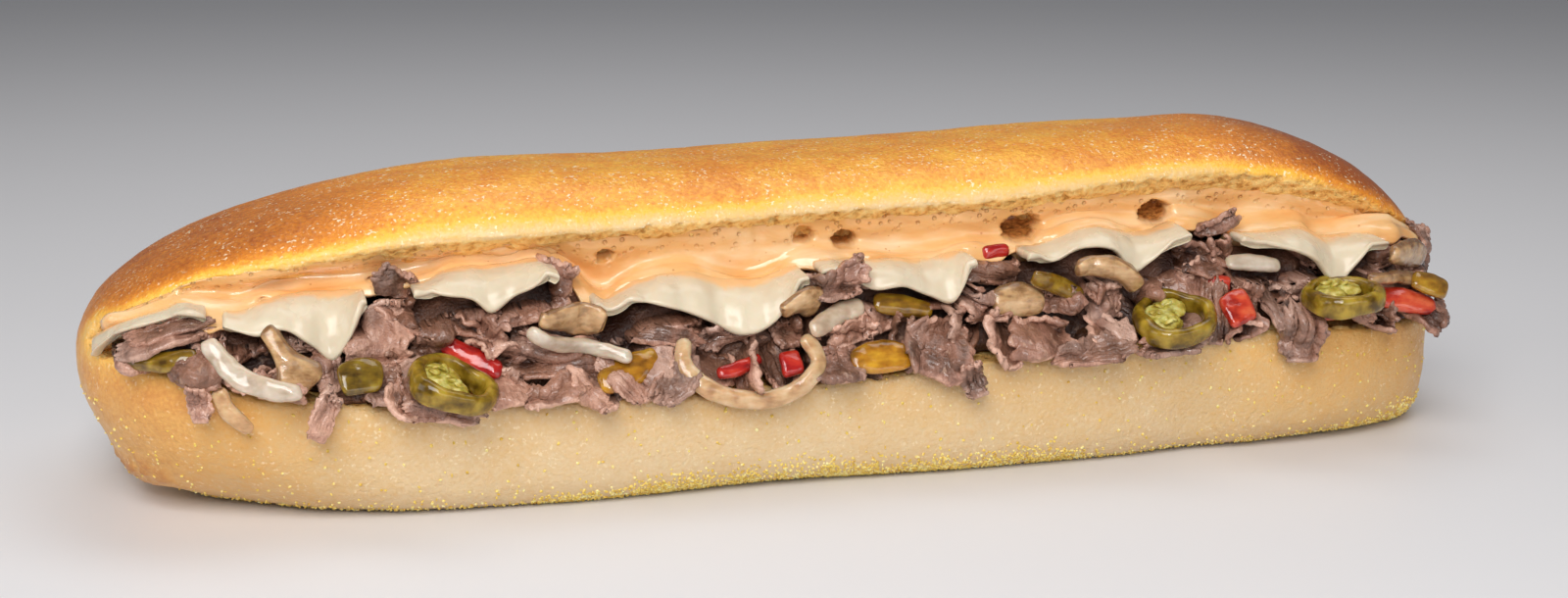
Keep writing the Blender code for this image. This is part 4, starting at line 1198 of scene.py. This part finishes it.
# Large shavings: place as (x, z) and how far out, width, length, turn, pitch, lean, fold, folds, curl
HEROES = (
    (-134, 40.2, 4.8, 15, 3.8, 14, -50, 0, 0.3, 0.6, 0.1),
    (-135.4, 38.4, 4.2, 18, 3.8, 14, -50, 0, 0.3, 0.7, 0.1),
    (-136.4, 36.6, 3.6, 18, 3.8, 13, -45, 0, 0.3, 0.6, 0.1),
    (-129.8, 32.7, 2.0, 11, 9, 20, 0, 10, 1.1, 1.2, 0.3),
    (-129.2, 27.6, 2.6, 4.5, 8, 5, 0, 0, 0.5, 0.8, 0.2),
    (-120.2, 37.1, 1.0, 9, 9, 20, 0, 0, 1.2, 1.4, 0.4),
    (-114, 30.0, 1.5, 10, 6, -10, 0, 0, 0.9, 1.2, 0.4),
    (-104.9, 31.6, 2.2, 6, 10, 10, 0, 0, 1.0, 1.2, 0.3),
    (-106.5, 24.2, 2.6, 4.6, 10, -28, 0, 0, 0.4, 0.8, 0.3),
    (-95.5, 37.0, 3.0, 13, 13, 10, 5, 0, 0.5, 0.9, 0.5),
    (-88, 40.5, 2.4, 14, 9, -15, 10, 0, 1.0, 1.3, 0.4),
    (-84.5, 35.5, 1.6, 8, 10, 0, 0, -15, 1.0, 1.2, 0.4),
    (-90.9, 46.4, 2.2, 9, 6.5, -20, 10, 0, 0.6, 0.9, 0.4),
    (-95, 28.6, 2.6, 8, 8, 0, 0, 0, 0.9, 1.2, 0.4),
    (-84.1, 23.7, 3.0, 15, 5, -10, 10, 0, 0.4, 0.7, 0.3),
    (-74.5, 39.6, 1.6, 12, 12, -20, 0, 10, 0.9, 1.2, 0.4),
    (-71.6, 27, 2.5, 8, 9, 10, 0, 0, 0.9, 1.1, 0.4),
    (-66.6, 41.2, 1.6, 11, 9, 15, 0, 0, 0.9, 1.2, 0.3),
    (-60.7, 44.8, 2.4, 9, 11, -35, 10, 0, 0.7, 1.0, 0.5),
    (-55, 41.5, 1.2, 8, 5, 10, 0, 0, 0.8, 1.0, 0.3),
    (-58.4, 32.6, 2.4, 24, 8, -6, 5, 0, 1.0, 1.6, 0.3),
    (-60, 29.2, 2.0, 22, 5, -4, -20, 0, 0.8, 1.0, 0.3),
    (-62.2, 25.4, 2.8, 13, 6, 5, -20, 0, 0.9, 1.3, 0.5),
    (-47.5, 38.6, 1.6, 10, 9, 12, 0, 0, 0.9, 1.2, 0.3),
    (-39.9, 37.8, 2.4, 20, 7, -3, 10, 0, 0.6, 1.0, 0.3),
    (-41, 34.2, 2.8, 20, 4, -12, -25, 0, 0.5, 0.8, 0.5),
    (-48.5, 26.4, 3.0, 4, 13, 45, 0, 0, 0.6, 0.8, 0.6),
    (-37.5, 26.2, 3.2, 13, 7, 38, 0, 0, 0.5, 0.8, 0.5),
    (-24.7, 33.6, 1.6, 14, 7, 25, 10, 0, 0.8, 1.2, 0.3),
    (-13, 33.5, 1.8, 6, 10, 10, 0, 0, 0.8, 1.0, 0.4),
    (-3.0, 42.8, 8.4, 13, 10, -5, 10, 0, 0.9, 1.1, 0.9),
    (0.6, 32.2, 2.6, 12, 10, 10, 0, 10, 1.3, 1.6, 0.8),
    (-3.6, 26.8, 2.4, 12, 8, 0, 0, 0, 0.8, 1.1, 0.4),
    (6.6, 37, 1.8, 6, 14, 25, 0, 0, 0.7, 0.9, 0.7),
    (21.2, 38.2, 2.0, 17, 8, -8, 0, 0, 0.9, 1.3, 0.4),
    (17.5, 28.5, 3.2, 13, 12, -25, 6, 0, 0.5, 1.1, 0.3),
    (24, 22.5, 3.0, 5, 9, 20, 0, 0, 0.5, 0.8, 0.3),
    (36.4, 41.8, 1.8, 20, 7, -5, 0, 0, 0.8, 1.2, 0.4),
    (30.5, 35.5, 2.2, 13, 9, 0, 0, 0, 1.1, 1.4, 0.4),
    (40.3, 29.6, 2.8, 15, 9, 8, 0, 0, 0.9, 1.2, 0.5),
    (50, 26.6, 3.2, 16, 6, 6, -15, 0, 0.5, 1.0, 0.3),
    (56.1, 35.5, 2.2, 9, 13, 10, 0, 10, 1.1, 1.5, 0.4),
    (46.6, 36, 2.0, 10, 8, 0, 0, 0, 1.1, 1.4, 0.4),
    (67.6, 26.9, 3.0, 14, 7, 5, -15, 0, 0.7, 1.2, 0.5),
    (74.2, 37.2, 1.0, 14, 11, 10, 0, 0, 0.5, 0.6, 0.5),
    (80.3, 31.8, 2.2, 6, 14, -10, 0, -10, 0.7, 0.9, 0.5),
    (77.4, 43.0, 2.4, 14, 8, -16, 15, 0, 0.5, 0.8, 0.6),
    (84.5, 49.2, 2.4, 10, 4.5, 28, 15, 0, 0.7, 1.0, 0.5),
    (85.8, 41.6, 2.2, 5.5, 15, 32, 0, 0, 0.6, 0.7, 0.6),
    (95.3, 43.0, 1.2, 10, 5, 0, 0, 0, 0.8, 1.0, 0.3),
    (89, 34, 2.2, 5, 14, -20, 0, 0, 0.8, 1.0, 0.6),
    (93.5, 33.5, 2.2, 5, 12, 10, 0, 0, 0.8, 1.0, 0.5),
    (98.6, 27.4, 3.2, 10, 14, 0, 5, 0, 0.5, 0.9, 0.4),
    (111.7, 31.4, 2.6, 10, 4, -25, 0, 0, 0.6, 0.8, 0.4),
    (121.5, 40.4, 1.6, 13, 7, 10, 0, 0, 0.7, 1.0, 0.4),
    (126, 34.6, 2.4, 15, 3.4, -12, 0, 0, 0.4, 0.7, 0.3),
    (132, 39, 1.0, 8, 9, 0, 0, 0, 1.0, 1.2, 0.4),
    (135, 28.5, 1.6, 7, 6, 10, 0, 0, 0.9, 1.0, 0.5),
)
# The places of the large shavings that stand up past the crest, and of those that hang over the bun
RISING = (-90.9, -60.7, 77.4, 84.5, 85.8)
HANGING = (-129.2, -106.5, -84.1, 17.5, 24, 98.6)
# The stack in the left corner of the mouth, and the one shaving that lies on a slice
STACK_LEFT_OF = -133.9
ON_A_SLICE = -3.0
FILL_SEED = 11
FILL_SPACING = 5.6
FILL_TRIES = 2600
END_SHAVINGS = 46
# Rows and columns of a shaving's points
LARGE_GRID = (42, 30)
SMALL_GRID = (32, 24)


def steak_material():
    paint = Paint("shaved fried steak")
    grain = paint.attribute("grain", "Vector")
    tone = paint.attribute("tone")
    fibre = paint.noise(0.7, 3, paint.scaled(grain, (1, 1, 0.3)))
    clouds = paint.noise(3.6, 4, grain)
    grit = paint.noise(0.55, 3)
    # The tone is each shaving's own tone and lighter edges, with painted shade on the core and on the shavings
    # that lie deep.
    mix = clouds * 0.52 + fibre * 0.12 + grit * 0.12 + tone * 0.34 - 0.06
    colour = paint.ramp(
        mix,
        (0.26, (0.045, 0.014, 0.007)),
        (0.40, (0.165, 0.069, 0.038)),
        (0.53, (0.380, 0.178, 0.118)),
        (0.68, (0.780, 0.455, 0.330)),
    )
    fat = paint.noise(1.7, 3, grain).step(0.60, 0.72)
    colour = paint.blend(fat * 0.4, colour, (0.72, 0.46, 0.32))
    rosy = paint.noise(10, 1).step(0.42, 0.62)
    colour = paint.blend(rosy * 0.25, colour, (0.60, 0.29, 0.18))
    grey = paint.noise(26, 1, grain).step(0.46, 0.62)
    dull = paint.ramp(mix, (0.3, (0.06, 0.035, 0.028)), (0.7, (0.52, 0.38, 0.31)))
    colour = paint.blend(grey * 0.38, colour, dull)
    relief = fibre * 0.25 + grit * 0.8 + clouds * 0.5
    return paint.finish(
        Base_Color=colour,
        Roughness=0.38 + (clouds - 0.5) * 0.5,
        Normal=paint.bump(relief, 0.6),
        Coat_Weight=(tone + 0.45).step(0.0, 1.0) * 0.6,
        Coat_Roughness=0.12,
    )


def covers(tree, over, reach):
    """The share of a sheet's points that lie closely in front of these pieces or in them."""
    hits = 0
    sample = over[::4, ::3].reshape(-1, 3) / 1000
    for x, y, z in sample.tolist():
        hits += tree.ray_cast(Vector((x, y - 0.002, z)), Vector((0, 1, 0)), reach / 1000)[0] is not None
    return hits / len(sample)


def tuck(tree, grid, depth):
    """Puts the points of a sheet that lie in front of these pieces behind their faces."""
    places = grid.reshape(-1, 3) / 1000
    for place in places:
        hit = tree.ray_cast(Vector((place[0], -0.09, place[2])), Vector((0, 1, 0)))[0]
        if hit is not None:
            place[1] = max(place[1], hit[1] + depth / 1000)
    return (places * 1000).reshape(grid.shape)


def join_sheets(name, sheets):
    """One object from many closed sheets, with their grain and tone, the tone holding painted shade where they
    lie deep.
    """
    points, faces = joined([sheet(over, under) for over, under, *_ in sheets])
    grain = np.concatenate([lines.reshape(-1, 3) for _, _, lines, _, _ in sheets for side in range(2)])
    tone = np.concatenate([np.tile((shade + edge * EDGE_TONE).ravel(), 2) for *_, edge, shade in sheets])
    return finish_surface(new_object(name, points, faces), grain=grain, tone=tone)


def make_end_shavings(chance):
    """The shavings that show in the roll's open right end, face outwards along +X."""
    sheets = []
    reach = np.linspace(100, 146, 200)
    for number in range(END_SHAVINGS):
        y = chance.uniform(-30, 16)
        x = reach[front_half(reach, 34) > abs(y) + 1][-1]
        share = (y - depth_y(x, 0)) / (hinge_y(x) - depth_y(x, 0))
        low, high = mouth_floor(x, share) + 1.5, mouth_top(x, share) - 2.5
        z = chance.uniform(min(low, high), high)
        size = (chance.uniform(8, 12), chance.uniform(7, 11))
        bend = (chance.uniform(0.5, 1.4), chance.uniform(0.5, 1.2), chance.uniform(-0.8, 1.5))
        grid, flat = shaving_grid(chance, *size, *bend, *SMALL_GRID)
        grid = turned(grid, chance.uniform(-30, 30), chance.uniform(-90, 90))
        swing = math.radians(70 + chance.uniform(-20, 20)) * (1 if y > -10 else 0.6)
        c, s = math.cos(swing), math.sin(swing)
        across = grid[..., 0] * c - grid[..., 1] * s + x - 2 - abs(y) * 0.08
        across = across - np.maximum(across - STEAK_RIGHT - 4, 0) * 0.7
        inward = grid[..., 0] * s + grid[..., 1] * c + y
        up = np.clip(grid[..., 2] + z, low - 1, high + 1.5)
        grid = points_at(across, inward, up)
        sheets.append((*thicken(chance, grid, flat, 1.2), chance.uniform(0, 0.7)))
    return sheets


def make_shavings():
    chance = random.Random(FILL_SEED)
    toppings = tree_of(*(o for o in bpy.data.objects if o.name.startswith(("cut_", "ring_"))))
    coats = tree_of(sauce, *slices)
    cheese_alone = tree_of(*slices)
    sheets = make_end_shavings(chance)
    taken = []
    for x, z, out, width, length, turn, pitch, lean, fold, folds, curl in HEROES:
        place, size = (x, z, out), (width, length)
        angles, bend = (turn, pitch, lean), (fold, folds, curl)
        if x in RISING:
            rise, behind = 9.5, cheese_alone
        elif x < STACK_LEFT_OF or x == ON_A_SLICE:
            rise, behind = 5, None
        else:
            rise, behind = 0, coats
        limits = (rise, 20 if x in HANGING else 1)
        made = make_shaving(chance, place, size, angles, bend, limits, behind, 1.3, *LARGE_GRID)
        if covers(toppings, made[0], 12) < 0.5:
            sheets.append((*made, chance.uniform(0.12, 0.70)))
            taken.append((x, z))
    for attempt in range(FILL_TRIES):
        x = chance.uniform(-141, 138)
        z = chance.uniform(float(bottom_lip(x)) + 1.5, float(steak_top(x)) + 1)
        if min(math.hypot(x - a, z - b) for a, b in taken) < FILL_SPACING:
            continue
        size = (chance.uniform(8, 14), chance.uniform(9, 15))
        angles = (chance.uniform(-90, 90), chance.uniform(-40, 40), chance.uniform(-30, 30))
        place = (x, z, chance.uniform(-3.2, 1.8))
        bend = (chance.uniform(0.5, 1.4), chance.uniform(0.5, 1.3), chance.uniform(-0.8, 1.5))
        made = make_shaving(chance, place, size, angles, bend, (0, 1), coats, 1.2, *SMALL_GRID)
        if covers(toppings, made[0], 12) < 0.2:
            sheets.append((*made, chance.uniform(0.0, 0.8)))
            taken.append((x, z))
    return sheets


steak_finish = steak_material()
dress(make_core(), steak_finish, "steak", "steak")
STEAK_GROUPS = 6
shavings = sorted(make_shavings(), key=lambda made: made[0][..., 0].mean())
for number in range(STEAK_GROUPS):
    first = number * len(shavings) // STEAK_GROUPS
    last = (number + 1) * len(shavings) // STEAK_GROUPS
    heap = join_sheets(f"steak_shavings_{number + 1}", shavings[first:last])
    dress(heap, steak_finish, "steak", "steak")


# The cornmeal. Coarse yellow grains from the baking tray that cling to the foot of the crust. Geometry
# Nodes scatter them over the roll where a weight on its points asks for them.
GRAIN_SEED = 5
GRAIN_RADIUS = 0.00036
GRAINS_PER_SQUARE_METRE = 4.6e6


def meal_weight(points):
    """How thickly the grains lie at each point of the crust."""
    x, y, z = points[:, 0], points[:, 1], points[:, 2]
    thick = smooth((x + 80) / 45) * (1 - smooth((x - 28) / 45))
    corner = smooth((x - 100) / 35)
    reach = 3.8 + 3.6 * thick + 5 * corner + 2.4 * noise_at(points, 14, 2, 12)
    foot = 1 - smooth((z - 0.5) / reach)
    clumps = np.clip(0.75 + noise_at(points, 5, 3, 40) * 1.3, 0.2, 1)
    strewn = 0.012 * (z < 24) * (y < 0)
    return (foot * np.clip(thick + corner * 0.45 + 0.2, 0, 1) * clumps + strewn) * (z > 0.25)


def meal_tree():
    """A tree that scatters grains over a mesh, as thickly as the weight on its points asks."""
    tree = bpy.data.node_groups.new("cornmeal", "GeometryNodeTree")
    inputs = {"Geometry": "Geometry", "Grain radius": "Float", "Grains per square metre": "Float"}
    inputs["Material"] = "Material"
    for name, kind in inputs.items():
        tree.interface.new_socket(name, in_out="INPUT", socket_type="NodeSocket" + kind)
    tree.interface.new_socket("Geometry", in_out="OUTPUT", socket_type="NodeSocketGeometry")
    add = Wire(tree).add
    given = {name: add("NodeGroupInput", output=name) for name in inputs}
    weight = add("GeometryNodeInputNamedAttribute", None, {"Name": "meal"}, "Attribute")
    density = weight * given["Grains per square metre"]
    crust = {"Mesh": given["Geometry"], "Density": density, "Seed": GRAIN_SEED}
    spots = add("GeometryNodeDistributePointsOnFaces", None, crust, "Points")
    ball = {"Radius": given["Grain radius"], "Subdivisions": 1}
    grain = add("GeometryNodeMeshIcoSphere", None, ball, "Mesh")
    vector = {"data_type": "FLOAT_VECTOR"}
    turn = add("FunctionNodeRandomValue", vector, {1: (6.3, 6.3, 6.3), "Seed": GRAIN_SEED})
    sizes = {0: (0.5, 0.5, 0.45), 1: (1.5, 1.2, 1.1), "Seed": GRAIN_SEED + 1}
    size = add("FunctionNodeRandomValue", vector, sizes)
    lying = {"Points": spots, "Instance": grain, "Rotation": turn, "Scale": size}
    strewn = add("GeometryNodeInstanceOnPoints", None, lying)
    real = add("GeometryNodeRealizeInstances", None, {"Geometry": strewn})
    shaded = add("GeometryNodeSetMaterial", None, {"Geometry": real, "Material": given["Material"]})
    tree.links.new(shaded.socket, tree.nodes.new("NodeGroupOutput").inputs["Geometry"])
    return tree


def cornmeal_material():
    paint = Paint("yellow cornmeal")
    colour = paint.ramp(
        paint.noise(1.1, 1),
        (0.3, (0.66, 0.40, 0.05)),
        (0.5, (0.90, 0.66, 0.14)),
        (0.7, (0.98, 0.88, 0.45)),
    )
    return paint.finish(Base_Color=colour, Roughness=0.35, Subsurface_Weight=0.1, Subsurface_Scale=0.001)


def make_cornmeal():
    put_attribute(bread.data, "meal", meal_weight(coordinates(bread.data)))
    obj = linked("cornmeal", bread.data)
    tree = meal_tree()
    modifier = obj.modifiers.new("scatter", "NODES")
    modifier.node_group = tree
    values = {"Grain radius": GRAIN_RADIUS, "Grains per square metre": GRAINS_PER_SQUARE_METRE}
    values["Material"] = cornmeal_material()
    for item in tree.interface.items_tree:
        if item.in_out == "INPUT" and item.name in values:
            modifier[item.identifier] = values[item.name]
    finish_modifiers(obj)
    return obj


cornmeal = make_cornmeal()
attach(cornmeal, "root")


# The table and the light. A plain pale floor, large soft lamps and the camera of the picture.
CAMERA_AZIMUTH = -15.0
CAMERA_ELEVATION = 13.0
CAMERA_DISTANCE = 0.48
CAMERA_TARGET = Vector((-0.004, 0, 0.031))


def make_camera():
    azimuth, elevation = math.radians(CAMERA_AZIMUTH), math.radians(CAMERA_ELEVATION)
    across = math.cos(elevation)
    back = Vector((math.sin(azimuth) * across, -math.cos(azimuth) * across, math.sin(elevation)))
    data = bpy.data.cameras.new("camera")
    data.lens = 50
    data.sensor_width = 36
    camera = linked("camera", data)
    camera.location = CAMERA_TARGET + back * CAMERA_DISTANCE
    camera.rotation_euler = (-back).to_track_quat("-Z", "Y").to_euler()
    bpy.context.scene.camera = camera


def make_lamp(name, place, size, power):
    data = bpy.data.lights.new(name, "AREA")
    data.shape = "RECTANGLE"
    data.size, data.size_y = size
    data.energy = power
    lamp = linked(name, data)
    lamp.location = place
    lamp.rotation_euler = (Vector((0, 0, 0.03)) - Vector(place)).to_track_quat("-Z", "Y").to_euler()


def make_floor():
    mesh = bpy.data.meshes.new("floor")
    mesh.from_pydata([(-4, -4, 0), (4, -4, 0), (4, 4, 0), (-4, 4, 0)], [], [(0, 1, 2, 3)])
    mesh.materials.append(Paint("pale table").finish(Base_Color=(0.80, 0.785, 0.79, 1), Roughness=0.5))
    linked("floor", mesh)


make_camera()
make_floor()
make_lamp("key", (-0.30, -0.60, 0.62), (0.55, 0.45), 5.3)
make_lamp("top", (0.15, 0.15, 0.80), (0.9, 0.4), 2.2)
make_lamp("left", (-0.85, -0.15, 0.35), (0.4, 0.4), 0.9)
make_lamp("front", (0.30, -0.80, 0.22), (0.8, 0.25), 1.1)
make_lamp("glint", (-0.14, -0.62, 0.30), (0.07, 0.07), 0.55)
world = bpy.data.worlds.new("studio")
world.use_nodes = True
world.node_tree.nodes["Background"].inputs["Color"].default_value = (0.75, 0.77, 0.82, 1)
world.node_tree.nodes["Background"].inputs["Strength"].default_value = 0.2
bpy.context.scene.world = world
bpy.context.scene.view_settings.view_transform = "Standard"
